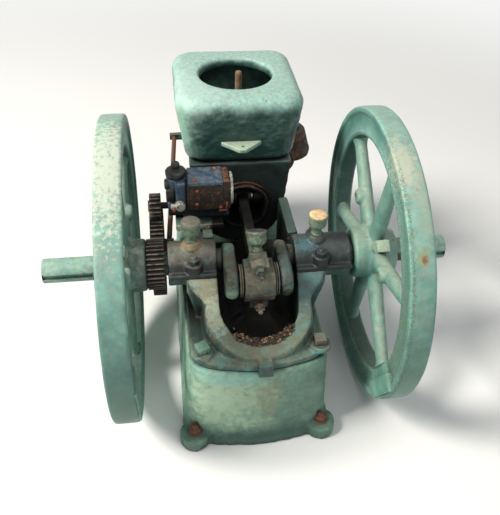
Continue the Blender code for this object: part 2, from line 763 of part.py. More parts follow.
def rod_lug_trims(engine, face, direction):
    """Takes the lugs down to their own width beside the full-width round body."""
    trims = []
    for side in (-1, 1):
        for up in (-1, 1):
            inner = CYLINDER_OFFSET + side * ROD_LUG_WIDTH / 2
            outer = CYLINDER_OFFSET + side * ROD_WIDTH
            near = up * (ROD_EYE_RADIUS - 0.004)
            far = up * 2 * ROD_LUG_HEIGHT
            ends = (face - direction * ROD_EYE_RADIUS, face + direction * 2 * ROD_EYE_RADIUS)
            low = (min(inner, outer), min(ends), min(near, far))
            high = (max(inner, outer), max(ends), max(near, far))
            trims.append(box("lug_trim", low, high, engine))
    return trims


def pin_bore(engine):
    start = (CYLINDER_OFFSET - ROD_WIDTH, -THROW, 0)
    end = (CYLINDER_OFFSET + ROD_WIDTH, -THROW, 0)
    return cylinder("pin_bore", PIN_RADIUS + SEAT_GAP, start, end, engine, BEARING_ROUND)


def connecting_rod(engine):
    """Rod half of the big end, fluted shank and small end in one forging."""
    face = -THROW + SEAT_GAP / 2
    outline = big_end_outline(face, 1)
    rod = plate("connecting_rod", outline, ROD_WIDTH, "X", (CYLINDER_OFFSET, 0, 0), engine)
    cut(rod, *rod_lug_trims(engine, face, 1))
    start = -THROW + ROD_EYE_RADIUS - 0.006
    end = WRIST_Y
    half = ROD_SHANK_HEIGHT / 2
    half_end = ROD_SHANK_END_HEIGHT / 2
    shank_outline = [(start, -half), (end, -half_end), (end, half_end), (start, half)]
    shank = plate("shank", shank_outline, ROD_SHANK_WIDTH, "X", (CYLINDER_OFFSET, 0, 0), engine)
    eye_start = (CYLINDER_OFFSET - SMALL_END_WIDTH / 2, WRIST_Y, 0)
    eye_end = (CYLINDER_OFFSET + SMALL_END_WIDTH / 2, WRIST_Y, 0)
    eye = cylinder("small_end", SMALL_END_RADIUS, eye_start, eye_end, engine)
    crank_pin = Vector((CYLINDER_OFFSET, -THROW, 0))
    out = Vector((0, math.sin(ROD_CUP_TILT), math.cos(ROD_CUP_TILT)))
    boss_start = crank_pin + out * (PIN_RADIUS + 0.006)
    boss_end = crank_pin + out * ROD_CUP_REACH
    boss = cylinder("cup_boss", CUP_STEM_RADIUS + 0.003, boss_start, boss_end, engine, 16)
    joined(rod, shank, eye, boss)
    flute_low = start + 0.025
    flute_high = end - SMALL_END_RADIUS - 0.012
    flute = [
        (flute_low, -half + 0.007),
        (flute_high, -half_end + 0.005),
        (flute_high, half_end - 0.005),
        (flute_low, half - 0.007),
    ]
    flutes = []
    for side in (-1, 1):
        x = CYLINDER_OFFSET + side * ROD_SHANK_WIDTH / 2
        flutes.append(plate("flute", flute, 2 * ROD_FLUTE, "X", (x, 0, 0), engine))
    pin_start = (CYLINDER_OFFSET - SMALL_END_WIDTH, WRIST_Y, 0)
    pin_end = (CYLINDER_OFFSET + SMALL_END_WIDTH, WRIST_Y, 0)
    wrist_bore = cylinder("wrist_bore", WRIST_PIN_RADIUS + SEAT_GAP, pin_start, pin_end, engine)
    cut(rod, *flutes, pin_bore(engine), wrist_bore)
    return finished(rod, "worn_iron")


def rod_cap(engine):
    face = -THROW - SEAT_GAP / 2
    outline = big_end_outline(face, -1)
    cap = plate("rod_cap", outline, ROD_WIDTH, "X", (CYLINDER_OFFSET, 0, 0), engine)
    cut(cap, *rod_lug_trims(engine, face, -1), pin_bore(engine))
    return finished(cap, "worn_iron")


def wrist_pin(engine):
    half = BORE_RADIUS - PISTON_GAP - PISTON_WALL - 0.0015
    start = (CYLINDER_OFFSET - half, WRIST_Y, 0)
    end = (CYLINDER_OFFSET + half, WRIST_Y, 0)
    return finished(cylinder("wrist_pin", WRIST_PIN_RADIUS, start, end, engine), "bright_steel")


def piston(engine):
    """Trunk piston: its open skirt faces the crank."""
    radius = BORE_RADIUS - PISTON_GAP
    inner = radius - PISTON_WALL
    skirt = WRIST_Y - SKIRT_BEHIND_PIN
    crown = PISTON_LENGTH
    floor = crown - CROWN_THICKNESS
    profile = [(0, crown), (radius, crown), (radius, 0), (inner, 0), (inner, floor), (0, floor)]
    trunk = turned("piston", profile, "Y", (CYLINDER_OFFSET, skirt, 0), engine, BEARING_ROUND)
    bosses = []
    for side in (-1, 1):
        start = (CYLINDER_OFFSET + side * (SMALL_END_WIDTH / 2 + 0.004), WRIST_Y, 0)
        end = (CYLINDER_OFFSET + side * (inner + PISTON_WALL / 2), WRIST_Y, 0)
        bosses.append(cylinder("pin_boss", SMALL_END_RADIUS, start, end, engine, 20))
    joined(trunk, *bosses)
    half = BORE_RADIUS - PISTON_GAP - PISTON_WALL - 0.001
    start = (CYLINDER_OFFSET - half, WRIST_Y, 0)
    end = (CYLINDER_OFFSET + half, WRIST_Y, 0)
    cut(trunk, cylinder("boss_bore", WRIST_PIN_RADIUS + SEAT_GAP, start, end, engine))
    return finished(trunk, "rusty_iron")


def block_outline(grow, top):
    """End view of the water jacket: sides that draw in from the hopper to a round belly."""
    half = BLOCK_HALF_WIDTH + grow
    top_half = BLOCK_TOP_HALF_WIDTH + grow
    return [(top_half, top), (-top_half, top)] + arc((0, 0), half, 180, 360, 20)


def cylinder_block(engine):
    flange_y = BLOCK_END - BLOCK_FLANGE_THICKNESS / 2
    length = flange_y - BLOCK_FACE
    outline = block_outline(0.0, BLOCK_TOP)
    block = plate("cylinder_block", outline, length, "Y", (0, BLOCK_FACE + length / 2, 0), engine)
    outline = block_outline(BLOCK_FLANGE, BLOCK_TOP - BLOCK_FLANGE_DROP)
    flange = plate("head_flange", outline, BLOCK_FLANGE_THICKNESS, "Y", (0, flange_y, 0), engine)
    foot_end = BASE_FRONT - 0.012
    low = (-BLOCK_FOOT_WIDTH / 2, foot_end - BLOCK_FOOT_DEPTH, FRAME_FOOT)
    high = (BLOCK_FOOT_WIDTH / 2, foot_end, FRAME_FOOT + BLOCK_FOOT_HEIGHT)
    joined(block, flange, box("foot", low, high, engine))
    start = (CYLINDER_OFFSET, BLOCK_FACE - BORE_RADIUS, 0)
    end = (CYLINDER_OFFSET, BLOCK_END + BORE_RADIUS, 0)
    cut(block, cylinder("bore", BORE_RADIUS, start, end, engine, BEARING_ROUND))
    return finished(block, "teal_paint")


def hopper_shell(name, inset, bottom, top, engine):
    """A box that draws in towards its bottom, with wide round corners and a round top edge."""
    bm = bmesh.new()
    bmesh.ops.create_cube(bm, size=1.0)
    for vertex in bm.verts:
        upper = vertex.co.z > 0
        half_width = (HOPPER_HALF_WIDTH if upper else HOPPER_BOTTOM_HALF_WIDTH) - inset
        half_depth = (HOPPER_HALF_DEPTH if upper else HOPPER_BOTTOM_HALF_DEPTH) - inset
        vertex.co.x *= 2 * half_width
        vertex.co.y *= 2 * half_depth
        vertex.co.z = top if upper else bottom
    weight = bm.edges.layers.float.new("bevel_weight_edge")
    for edge in bm.edges:
        low_edge = all(vertex.co.z == bottom for vertex in edge.verts)
        edge[weight] = 0.3 if low_edge else 1.0
    mesh = mesh_from(name, bm)
    shell = placed(name, mesh, (0, HOPPER_CENTRE, 0), (0, 0, 0), engine)
    bevel = shell.modifiers.new("round", "BEVEL")
    bevel.limit_method = "WEIGHT"
    bevel.width = HOPPER_ROUNDING - inset
    bevel.segments = 4
    return shell


def hopper(engine):
    bottom = BLOCK_TOP + SEAT_GAP
    tank = hopper_shell("hopper", 0.0, bottom, HOPPER_TOP, engine)
    face = HOPPER_CENTRE - HOPPER_HALF_DEPTH + HOPPER_WALL
    tip = HOPPER_CENTRE - HOPPER_HALF_DEPTH - EAR_LUG_PROUD + 0.010
    lug_outline = [(-EAR_LUG_HALF_WIDTH, face), (-0.006, tip), (0.006, tip), (EAR_LUG_HALF_WIDTH, face)]
    lug = plate("ear_lug", lug_outline, EAR_LUG_THICKNESS, "Z", (0, 0, EAR_LUG_HEIGHT), engine)
    joined(tank, lug)
    hollow = hopper_shell("hollow", HOPPER_WALL, bottom + HOPPER_WALL, HOPPER_TOP - HOPPER_CROWN, engine)
    start = (0, HOPPER_CENTRE, HOPPER_TOP - 2 * HOPPER_CROWN)
    end = (0, HOPPER_CENTRE, HOPPER_TOP + HOPPER_CROWN)
    mouth = cylinder("mouth", HOPPER_MOUTH_RADIUS, start, end, engine, 40)
    top = (0, HOPPER_CENTRE, HOPPER_TOP + HOPPER_DISH_DEPTH)
    waist = (0, HOPPER_CENTRE, HOPPER_TOP - 2 * HOPPER_DISH_DEPTH)
    wide = HOPPER_MOUTH_RADIUS + 2 * HOPPER_DISH_WIDTH
    narrow = HOPPER_MOUTH_RADIUS - HOPPER_DISH_WIDTH
    dish = cylinder("dish", wide, top, waist, engine, 40, end_radius=narrow)
    hole_y = tip + 0.007
    hole_start = (0, hole_y, EAR_LUG_HEIGHT - EAR_LUG_THICKNESS)
    hole_end = (0, hole_y, EAR_LUG_HEIGHT + EAR_LUG_THICKNESS)
    hole = cylinder("lug_hole", EAR_LUG_HOLE, hole_start, hole_end, engine, 12)
    cut(tank, hollow, mouth, dish, hole)
    return finished(tank, "teal_paint")


def hopper_stud(engine):
    floor = BLOCK_TOP + 2 * SEAT_GAP + HOPPER_WALL
    start = (CYLINDER_OFFSET, HOPPER_CENTRE, floor)
    end = (CYLINDER_OFFSET, HOPPER_CENTRE, HOPPER_TOP + 0.002)
    return finished(cylinder("hopper_stud", HOPPER_STUD_RADIUS, start, end, engine, 16), "rusty_iron")


def cylinder_head(engine):
    low = (-HEAD_HALF_WIDTH, -HEAD_BELOW)
    high = (HEAD_HALF_WIDTH, BLOCK_TOP - 0.006)
    middle = HEAD_FACE - HEAD_THICKNESS / 2
    outline = rounded_rectangle(low, high, HEAD_CORNER)
    head = plate("cylinder_head", outline, HEAD_THICKNESS, "Y", (0, middle, 0), engine)
    start = (0, middle, -EXHAUST_PORT_DROP)
    end = (HEAD_HALF_WIDTH + 0.006, middle, -EXHAUST_PORT_DROP)
    port = cylinder("exhaust_port", EXHAUST_PIPE_RADIUS + 0.001, start, end, engine)
    start = (VALVE_X, middle, -ROCKER_DROP)
    end = (VALVE_X, HEAD_FACE + 0.006, -ROCKER_DROP)
    guide = cylinder("valve_guide", VALVE_COLLAR_RADIUS, start, end, engine)
    joined(head, port, guide)
    return finished(head, "teal_paint")


def exhaust_top():
    return EXHAUST_BEND - EXHAUST_PORT_DROP + EXHAUST_PIPE_RADIUS / 4


def exhaust_elbow(engine):
    """Iron elbow from the head's side port up to the pot."""
    y = HEAD_FACE - HEAD_THICKNESS / 2
    start = HEAD_HALF_WIDTH + 0.006 + SEAT_GAP
    bend_x = start + EXHAUST_REACH - EXHAUST_BEND
    points = [(start, y, -EXHAUST_PORT_DROP)]
    for i in range(7):
        angle = math.radians(90 * i / 6)
        x = bend_x + EXHAUST_BEND * math.sin(angle)
        z = -EXHAUST_PORT_DROP + EXHAUST_BEND * (1 - math.cos(angle))
        points.append((x, y, z))
    points.append((start + EXHAUST_REACH, y, exhaust_top()))
    return finished(pipe("exhaust_elbow", points, EXHAUST_PIPE_RADIUS, engine, 3), "rusty_iron")


def exhaust_pot(engine):
    """Turned cast pot that silences the exhaust, open at its top."""
    x = HEAD_HALF_WIDTH + 0.006 + SEAT_GAP + EXHAUST_REACH
    y = HEAD_FACE - HEAD_THICKNESS / 2
    bottom = exhaust_top() + SEAT_GAP
    neck = EXHAUST_PIPE_RADIUS + 0.005
    outlet = POT_TOP_RADIUS - 0.012
    profile = [
        (0, POT_HEIGHT - 0.016),
        (outlet, POT_HEIGHT - 0.016),
        (outlet, POT_HEIGHT),
        (POT_TOP_RADIUS, POT_HEIGHT),
        (POT_TOP_RADIUS + 0.003, POT_HEIGHT - 0.006),
        (POT_RADIUS, 0.030),
        (POT_RADIUS, 0.020),
        (POT_RADIUS - 0.010, 0.012),
        (neck, 0.009),
        (neck, 0),
        (0, 0),
    ]
    return finished(turned("exhaust_pot", profile, "Z", (x, y, bottom), engine), "rusty_iron")


def mixer(engine):
    """Fuel mixer on the head's face, its air horn flared."""
    profile = [
        (0, MIXER_LENGTH - 0.008),
        (MIXER_RADIUS * 0.75, MIXER_LENGTH - 0.008),
        (MIXER_RADIUS * 0.9, MIXER_LENGTH),
        (MIXER_RADIUS, MIXER_LENGTH),
        (MIXER_RADIUS * 0.8, MIXER_LENGTH * 0.7),
        (MIXER_RADIUS * 0.8, MIXER_LENGTH * 0.2),
        (MIXER_RADIUS, MIXER_LENGTH * 0.2),
        (MIXER_RADIUS, 0),
        (0, 0),
    ]
    seat = HEAD_FACE + SEAT_GAP
    body = turned("mixer", profile, "Y", (MIXER_X, seat, -MIXER_DROP), engine)
    y = seat + MIXER_LENGTH * 0.45
    top = -MIXER_DROP + MIXER_RADIUS + 0.010
    needle = cylinder("needle_boss", 0.006, (MIXER_X, y, -MIXER_DROP), (MIXER_X, y, top), engine, 16)
    low = (MIXER_X, y, -MIXER_DROP - MIXER_RADIUS - 0.004)
    union = cylinder("fuel_union", 0.007, (MIXER_X, y, -MIXER_DROP), low, engine, 16)
    joined(body, needle, union)
    return finished(body, "brass")


def fuel_pipe(engine):
    """From the tank in the sub-base, out of its front end and up to the mixer."""
    x = MIXER_X
    y = HEAD_FACE + SEAT_GAP + MIXER_LENGTH * 0.45
    top = -MIXER_DROP - MIXER_RADIUS - 0.004 - SEAT_GAP
    bend = 0.025
    share = (FUEL_INLET_DROP - BASE_BELOW_CRANK) / (BASE_HEIGHT - BASE_LIP_HEIGHT)
    inlet = BASE_FRONT + BASE_FLARE * share + SEAT_GAP
    points = [(x, inlet, -FUEL_INLET_DROP)]
    for i in range(7):
        angle = math.radians(90 * i / 6)
        points.append((x, y - bend + bend * math.sin(angle), -FUEL_INLET_DROP + bend * (1 - math.cos(angle))))
    points.append((x, y, top))
    return finished(pipe("fuel_pipe", points, FUEL_PIPE_RADIUS, engine), "brass")


def spark_plug(engine):
    seat = HEAD_FACE + SEAT_GAP
    profile = [
        (0, 0.036),
        (0.003, 0.036),
        (0.003, 0.028),
        (0.006, 0.027),
        (0.007, 0.012),
        (0.011, 0.011),
        (0.011, 0),
        (0, 0),
    ]
    plug = turned("spark_plug", profile, "Y", (PLUG_X, seat, PLUG_RISE), engine, 12)
    return finished(plug, "bright_steel")


def rocker_bracket(engine):
    """Fork on the head that holds the rocker between two ears on an upright pin."""
    seat = HEAD_FACE + SEAT_GAP
    half = ROCKER_THICKNESS / 2 + SEAT_GAP
    low = (ROCKER_PIVOT_X - 0.014, seat, -ROCKER_DROP - half - BRACKET_WALL)
    high = (ROCKER_PIVOT_X + 0.014, BRACKET_REACH, -ROCKER_DROP + half + BRACKET_WALL)
    bracket = box("rocker_bracket", low, high, engine)
    slot_low = (low[0] - 0.01, seat + 0.010, -ROCKER_DROP - half)
    slot_high = (high[0] + 0.01, BRACKET_REACH + 0.01, -ROCKER_DROP + half)
    cut(bracket, box("slot", slot_low, slot_high, engine))
    start = (ROCKER_PIVOT_X, ROCKER_Y, low[2] + 0.002)
    end = (ROCKER_PIVOT_X, ROCKER_Y, high[2] - 0.002)
    joined(bracket, cylinder("pin", ROCKER_PIN_RADIUS, start, end, engine, 16))
    return finished(bracket, "teal_paint")


def rocker_arm(engine):
    """Bar across the head from the push rod to the valve stem."""
    left = PUSH_ROD_END_X - ROCKER_OVERHANG
    right = VALVE_X + ROCKER_OVERHANG
    half = ROCKER_DEPTH / 2
    outline = [
        (left, -half * 0.7),
        (ROCKER_PIVOT_X - 0.010, -half),
        (ROCKER_PIVOT_X + 0.010, -half),
        (right, -half * 0.7),
        (right, half * 0.5),
        (ROCKER_PIVOT_X + 0.010, half),
        (ROCKER_PIVOT_X - 0.010, half),
        (left, half * 0.5),
    ]
    arm = plate("rocker_arm", outline, ROCKER_THICKNESS, "Z", (0, ROCKER_Y, -ROCKER_DROP), engine)
    start = (ROCKER_PIVOT_X, ROCKER_Y, -ROCKER_DROP - ROCKER_THICKNESS)
    end = (ROCKER_PIVOT_X, ROCKER_Y, -ROCKER_DROP + ROCKER_THICKNESS)
    cut(arm, cylinder("pin_hole", ROCKER_PIN_RADIUS + SEAT_GAP, start, end, engine, 16))
    return finished(arm, "worn_iron")


def rocker_face():
    """Where a rod or stem meets the rocker's back."""
    return ROCKER_Y - ROCKER_DEPTH / 2 * 0.7 - SEAT_GAP


def exhaust_valve(engine):
    """Stem with its spring collar, between the valve guide and the rocker."""
    seat = HEAD_FACE + 0.006 + SEAT_GAP
    length = rocker_face() - 0.001 - seat
    profile = [
        (0, length),
        (VALVE_STEM_RADIUS, length),
        (VALVE_STEM_RADIUS, length - 0.003),
        (VALVE_COLLAR_RADIUS, length - 0.003),
        (VALVE_COLLAR_RADIUS, length - 0.006),
        (VALVE_STEM_RADIUS, length - 0.006),
        (VALVE_STEM_RADIUS, 0),
        (0, 0),
    ]
    valve = turned("exhaust_valve", profile, "Y", (VALVE_X, seat, -ROCKER_DROP), engine, 16)
    return finished(valve, "bright_steel")


def valve_spring(engine):
    """Coil spring between the head's guide and the collar."""
    start = HEAD_FACE + 0.006 + SEAT_GAP + SPRING_WIRE
    end = rocker_face() - 0.001 - 0.006 - SEAT_GAP - SPRING_WIRE
    radius = VALVE_COLLAR_RADIUS - 0.003
    per_turn = 9
    count = SPRING_TURNS * per_turn
    points = []
    for i in range(count + 1):
        angle = 2 * math.pi * i / per_turn
        y = start + (end - start) * i / count
        points.append((VALVE_X + radius * math.cos(angle), y, -ROCKER_DROP + radius * math.sin(angle)))
    return finished(pipe("valve_spring", points, SPRING_WIRE, engine, 1), "rusty_iron")


def push_rod_line():
    """Ends of the push rod: just clear of the cam, and against the rocker's back."""
    cam_x = -(CAM_GEAR_INNER - CAM_LENGTH / 2)
    start = Vector((cam_x, CAM_Y + CAM_BASE_RADIUS + CAM_LIFT + 0.001, CAM_Z))
    end = Vector((PUSH_ROD_END_X, rocker_face() - 0.001, -ROCKER_DROP))
    return start, end


def push_rod(engine):
    start, end = push_rod_line()
    return finished(cylinder("push_rod", PUSH_ROD_RADIUS, start, end, engine, 16), "rusty_iron")


def push_rod_guide(engine):
    """Arm on the side of the cylinder block with an eye for the push rod."""
    start, end = push_rod_line()
    share = (GUIDE_Y - start.y) / (end.y - start.y)
    at = start.lerp(end, share)
    eye = PUSH_ROD_RADIUS + 0.006
    root = -block_side(at.z + eye) - SEAT_GAP
    low = (at.x - eye, GUIDE_Y - GUIDE_THICKNESS / 2, at.z - eye)
    high = (root, GUIDE_Y + GUIDE_THICKNESS / 2, at.z + eye)
    guide = box("push_rod_guide", low, high, engine)
    hole_start = at - (end - start) * 0.1
    hole_end = at + (end - start) * 0.1
    cut(guide, cylinder("guide_hole", PUSH_ROD_RADIUS + SEAT_GAP, hole_start, hole_end, engine, 16))
    return finished(guide, "worn_iron")


def block_side(z):
    """Half width of the cylinder block at a height, on its straight side or on its belly."""
    if z >= 0:
        return BLOCK_HALF_WIDTH + (BLOCK_TOP_HALF_WIDTH - BLOCK_HALF_WIDTH) * z / BLOCK_TOP
    return math.sqrt(BLOCK_HALF_WIDTH**2 - z**2)


def cam_gear_stud(engine):
    face = PIT_LEFT - WALL - CAM_BOSS_PROUD - SEAT_GAP
    end = -CAM_GEAR_OUTER
    stud = cylinder("cam_gear_stud", CAM_STUD_RADIUS, (face, CAM_Y, CAM_Z), (end, CAM_Y, CAM_Z), engine, BEARING_ROUND)
    return finished(stud, "worn_iron")


def cam_outline():
    """Round base circle with one lobe that faces away from the push rod at rest."""
    points = []
    for i in range(28):
        angle = 2 * math.pi * i / 28
        lobe = max(0.0, math.cos(angle - math.radians(200.0))) ** 6
        radius = CAM_BASE_RADIUS + CAM_LIFT * lobe
        points.append((radius * math.cos(angle), radius * math.sin(angle)))
    return points


def cam_gear(axis, phase):
    middle = -(CAM_GEAR_OUTER + CAM_GEAR_INNER) / 2
    gear = plate("cam_gear", gear_outline(CAM_TEETH, phase), CAM_GEAR_WIDTH, "X", (middle, 0, 0), axis)
    rim_inner = GEAR_MODULE * CAM_TEETH / 2 - DEDENDUM * GEAR_MODULE - CAM_RIM_DEPTH
    recesses = []
    for face, out in ((-CAM_GEAR_OUTER, -1), (-CAM_GEAR_INNER, 1)):
        deep = face - out * CAM_WEB_RECESS
        top = max(deep, face + out * 0.002)
        bottom = min(deep, face + out * 0.002)
        profile = [(rim_inner, top), (rim_inner, bottom), (CAM_HUB_RADIUS, bottom), (CAM_HUB_RADIUS, top)]
        recesses.append(turned("recess", profile, "X", (0, 0, 0), axis, BEARING_ROUND, ring=True))
    cut(gear, *recesses)
    cam_x = -(CAM_GEAR_INNER - CAM_LENGTH / 2 + 0.001)
    cam = plate("cam", cam_outline(), CAM_LENGTH + 0.002, "X", (cam_x, 0, 0), axis)
    joined(gear, cam)
    reach = 2 * CAM_GEAR_OUTER
    bore = cylinder("bore", CAM_STUD_RADIUS + BORE_GAP, (-reach, 0, 0), (reach, 0, 0), axis, BEARING_ROUND)
    cut(gear, bore)
    return finished(gear, "worn_iron")


def crank_gear(axis):
    middle = -(CRANK_GEAR_OUTER + CRANK_GEAR_INNER) / 2
    outline = gear_outline(CRANK_TEETH, CAM_DIRECTION)
    gear = plate("crank_gear", outline, CRANK_GEAR_WIDTH, "X", (middle, 0, 0), axis)
    reach = 2 * CRANK_GEAR_OUTER
    cut(gear, cylinder("bore", SHAFT_RADIUS + SEAT_GAP, (-reach, 0, 0), (reach, 0, 0), axis, BEARING_ROUND))
    return finished(gear, "worn_iron")


def magneto_pinion(axis, phase):
    """Pinion and its shaft into the magneto."""
    middle = -(CAM_GEAR_OUTER + CAM_GEAR_INNER) / 2
    outline = gear_outline(MAGNETO_TEETH, phase)
    pinion = plate("magneto_pinion", outline, PINION_WIDTH, "X", (middle, 0, 0), axis)
    end = -MAGNETO_LEFT + 0.025
    joined(pinion, cylinder("shaft", PINION_SHAFT_RADIUS, (middle, 0, 0), (end, 0, 0), axis, 16))
    return finished(pinion, "worn_iron")


def magneto_bracket(engine):
    """Shelf on the frame's left rail that carries the magneto."""
    bottom = RAIL_TOP + SEAT_GAP
    low = (-MAGNETO_LEFT + BRACKET_INSET, MAGNETO_FRONT, bottom)
    high = (-MAGNETO_RIGHT - BRACKET_INSET, MAGNETO_BACK + BRACKET_BEHIND, bottom + BRACKET_THICKNESS)
    bracket = box("magneto_bracket", low, high, engine)
    web_front = MAGNETO_FRONT + BRACKET_WEB_FROM_FRONT
    web_back = web_front + BRACKET_WEB_THICKNESS
    low_web = (low[0] + BRACKET_WEB_INSET, web_front, bottom - BRACKET_WEB_DEPTH)
    high_web = (PIT_LEFT - WALL - BRACKET_WEB_GAP, web_back, bottom + BRACKET_THICKNESS / 2)
    joined(bracket, box("web", low_web, high_web, engine))
    return finished(bracket, "teal_paint")


def magneto_body(engine):
    """Aluminium housing: a round lower barrel about the shaft and a flat-sided upper box."""
    left = -MAGNETO_LEFT
    right = -MAGNETO_RIGHT
    bottom = RAIL_TOP + SEAT_GAP + BRACKET_THICKNESS + SEAT_GAP
    low = (left + 0.014, MAGNETO_FRONT + POLE_BLOCK_DEPTH + SEAT_GAP, bottom)
    high = (right, MAGNETO_BACK, MAGNETO_TOP)
    body = box("magneto_body", low, high, engine)
    start = (left, CAM_Y, MAGNETO_Z)
    end = (right, CAM_Y, MAGNETO_Z)
    barrel = cylinder("barrel", MAGNETO_Z - bottom, start, end, engine)
    housing_low = (left + 0.014, MAGNETO_FRONT, POLE_BLOCK_BOTTOM)
    housing_high = (-POLE_BLOCK_LEFT - SEAT_GAP, MAGNETO_BACK, MAGNETO_TOP)
    housing = box("left_housing", housing_low, housing_high, engine)
    joined(body, barrel, housing)
    bore_end = left + 0.030
    cut(
        body,
        cylinder(
            "shaft_bore",
            PINION_SHAFT_RADIUS + BORE_GAP,
            (left - 0.010, CAM_Y, MAGNETO_Z),
            (bore_end, CAM_Y, MAGNETO_Z),
            engine,
            20,
        ),
    )
    return finished(body, "aluminium")


def magneto_pole_block(engine):
    low = (-POLE_BLOCK_LEFT, MAGNETO_FRONT, POLE_BLOCK_BOTTOM)
    high = (-MAGNETO_RIGHT, MAGNETO_FRONT + POLE_BLOCK_DEPTH, MAGNETO_TOP)
    return finished(box("magneto_pole_block", low, high, engine), "rusty_iron")


def magneto_cover(engine):
    bottom = MAGNETO_TOP + SEAT_GAP
    low = (-POLE_BLOCK_LEFT + 0.002, MAGNETO_FRONT - 0.002, bottom)
    high = (-MAGNETO_RIGHT - 0.004, MAGNETO_BACK - 0.002, bottom + COVER_THICKNESS)
    return finished(box("magneto_cover", low, high, engine), "aluminium")


def magneto_end_plate(engine):
    start = -MAGNETO_RIGHT + SEAT_GAP
    centre = ((MAGNETO_FRONT + MAGNETO_BACK) / 2, MAGNETO_TOP - END_PLATE_RADIUS + 0.002)
    end = (start + END_PLATE_THICKNESS, *centre)
    disc = cylinder("magneto_end_plate", END_PLATE_RADIUS, (start, *centre), end, engine)
    return finished(disc, "aluminium")


def magneto_cap(engine):
    seat = MAGNETO_TOP + SEAT_GAP
    profile = [
        (0, CAP_HEIGHT + 0.014),
        (0.006, CAP_HEIGHT + 0.014),
        (0.006, CAP_HEIGHT + 0.002),
        (CAP_RADIUS * 0.7, CAP_HEIGHT),
        (CAP_RADIUS, CAP_HEIGHT - 0.004),
        (CAP_RADIUS, 0.002),
        (CAP_RADIUS - 0.003, 0),
        (0, 0),
    ]
    centre = (-CAP_X - 0.004, MAGNETO_BACK - CAP_RADIUS, seat)
    cap = turned("magneto_cap", profile, "Z", centre, engine)
    return finished(cap, "black_moulding")


def magneto_terminal(engine):
    """Small knob on the housing's left end."""
    face = -MAGNETO_LEFT + 0.014 - SEAT_GAP
    profile = [(0, 0.018), (0.009, 0.018), (0.009, 0.010), (TERMINAL_RADIUS, 0.009), (TERMINAL_RADIUS, 0), (0, 0)]
    knob = turned("magneto_terminal", profile, "X", (face, CAM_Y, MAGNETO_TOP - 0.012), engine, 16)
    knob.rotation_euler = (0, -math.pi / 2, 0)
    return finished(knob, "black_moulding")


def rim_profile():
    """Rim section: a raised outer lip, a recessed flat and a chamfered inner edge, on both faces."""
    half = RIM_WIDTH / 2
    flat = half - RIM_RECESS
    lip = FLYWHEEL_RADIUS - RIM_LIP
    inner = FLYWHEEL_RADIUS - RIM_DEPTH
    top = [(FLYWHEEL_RADIUS, half)]
    bottom = [
        (FLYWHEEL_RADIUS, -half),
        (lip, -half),
        (lip - RIM_RECESS, -flat),
        (inner + RIM_CHAMFER, -flat),
        (inner, -flat + RIM_CHAMFER),
    ]
    return top + bottom + [(radius, -height) for radius, height in reversed(bottom[1:])]


def hub_profile():
    """Hub section: a nose that draws in outboard, and a bead round its inboard end."""
    bore = SHAFT_RADIUS + SEAT_GAP
    bead = HUB_RADIUS + HUB_BEAD_PROUD
    bead_end = -HUB_INBOARD + HUB_BEAD_FROM_END
    bead_start = bead_end + HUB_BEAD_WIDTH
    return [
        (bore, HUB_OUTBOARD),
        (HUB_NOSE_RADIUS, HUB_OUTBOARD),
        (HUB_RADIUS, HUB_OUTBOARD - 0.018),
        (HUB_RADIUS, bead_start),
        (bead, bead_start - HUB_BEAD_PROUD / 2),
        (bead, bead_end + HUB_BEAD_PROUD / 2),
        (HUB_RADIUS, bead_end),
        (HUB_RADIUS, -HUB_INBOARD + 0.003),
        (HUB_RADIUS - 0.003, -HUB_INBOARD),
        (bore, -HUB_INBOARD),
    ]


def spoke(angle, wheel):
    """Oval spoke that tapers from the hub to the rim, set at an angle from +Y towards +Z."""
    inner = HUB_RADIUS - 0.010
    outer = FLYWHEEL_RADIUS - RIM_DEPTH + 0.006
    bm = bmesh.new()
    bmesh.ops.create_cone(
        bm,
        cap_ends=True,
        segments=12,
        radius1=SPOKE_HUB_RADIUS,
        radius2=SPOKE_RIM_RADIUS,
        depth=outer - inner,
    )
    bmesh.ops.scale(bm, vec=(SPOKE_FLATNESS, 1, 1), verts=bm.verts)
    middle = (inner + outer) / 2
    centre = (0, middle * math.cos(angle), middle * math.sin(angle))
    return placed("spoke", mesh_from("spoke", bm), centre, (angle - math.pi / 2, 0, 0), wheel)


def wheel_angle(angle, side):
    """An angle from +Y towards +Z, as the wheel on that side measures it about its own +X."""
    return angle if side > 0 else math.pi - angle


def spun(obj, angle):
    """Turns a piece made on +Y about its wheel's axis."""
    obj.location.rotate(Euler((angle, 0, 0)))
    obj.rotation_euler = (angle, 0, 0)
    return obj


def rim_pad(angle, wheel):
    """Stepped pad on the rim's inboard face, wider towards the outside."""
    face = RIM_RECESS - RIM_WIDTH / 2
    pads = []
    steps = (
        (PAD_INNER_RADIUS, PAD_OUTER_RADIUS - 0.002, PAD_INNER_HALF_WIDTH, PAD_PROUD),
        (PAD_STEP_RADIUS, PAD_OUTER_RADIUS, PAD_OUTER_HALF_WIDTH, 2 * PAD_PROUD),
    )
    for inner, outer, half, proud in steps:
        pad = box("rim_pad", (face - proud, inner, -half), (face + RIM_WIDTH / 4, outer, half), wheel)
        pads.append(spun(pad, angle))
    return pads


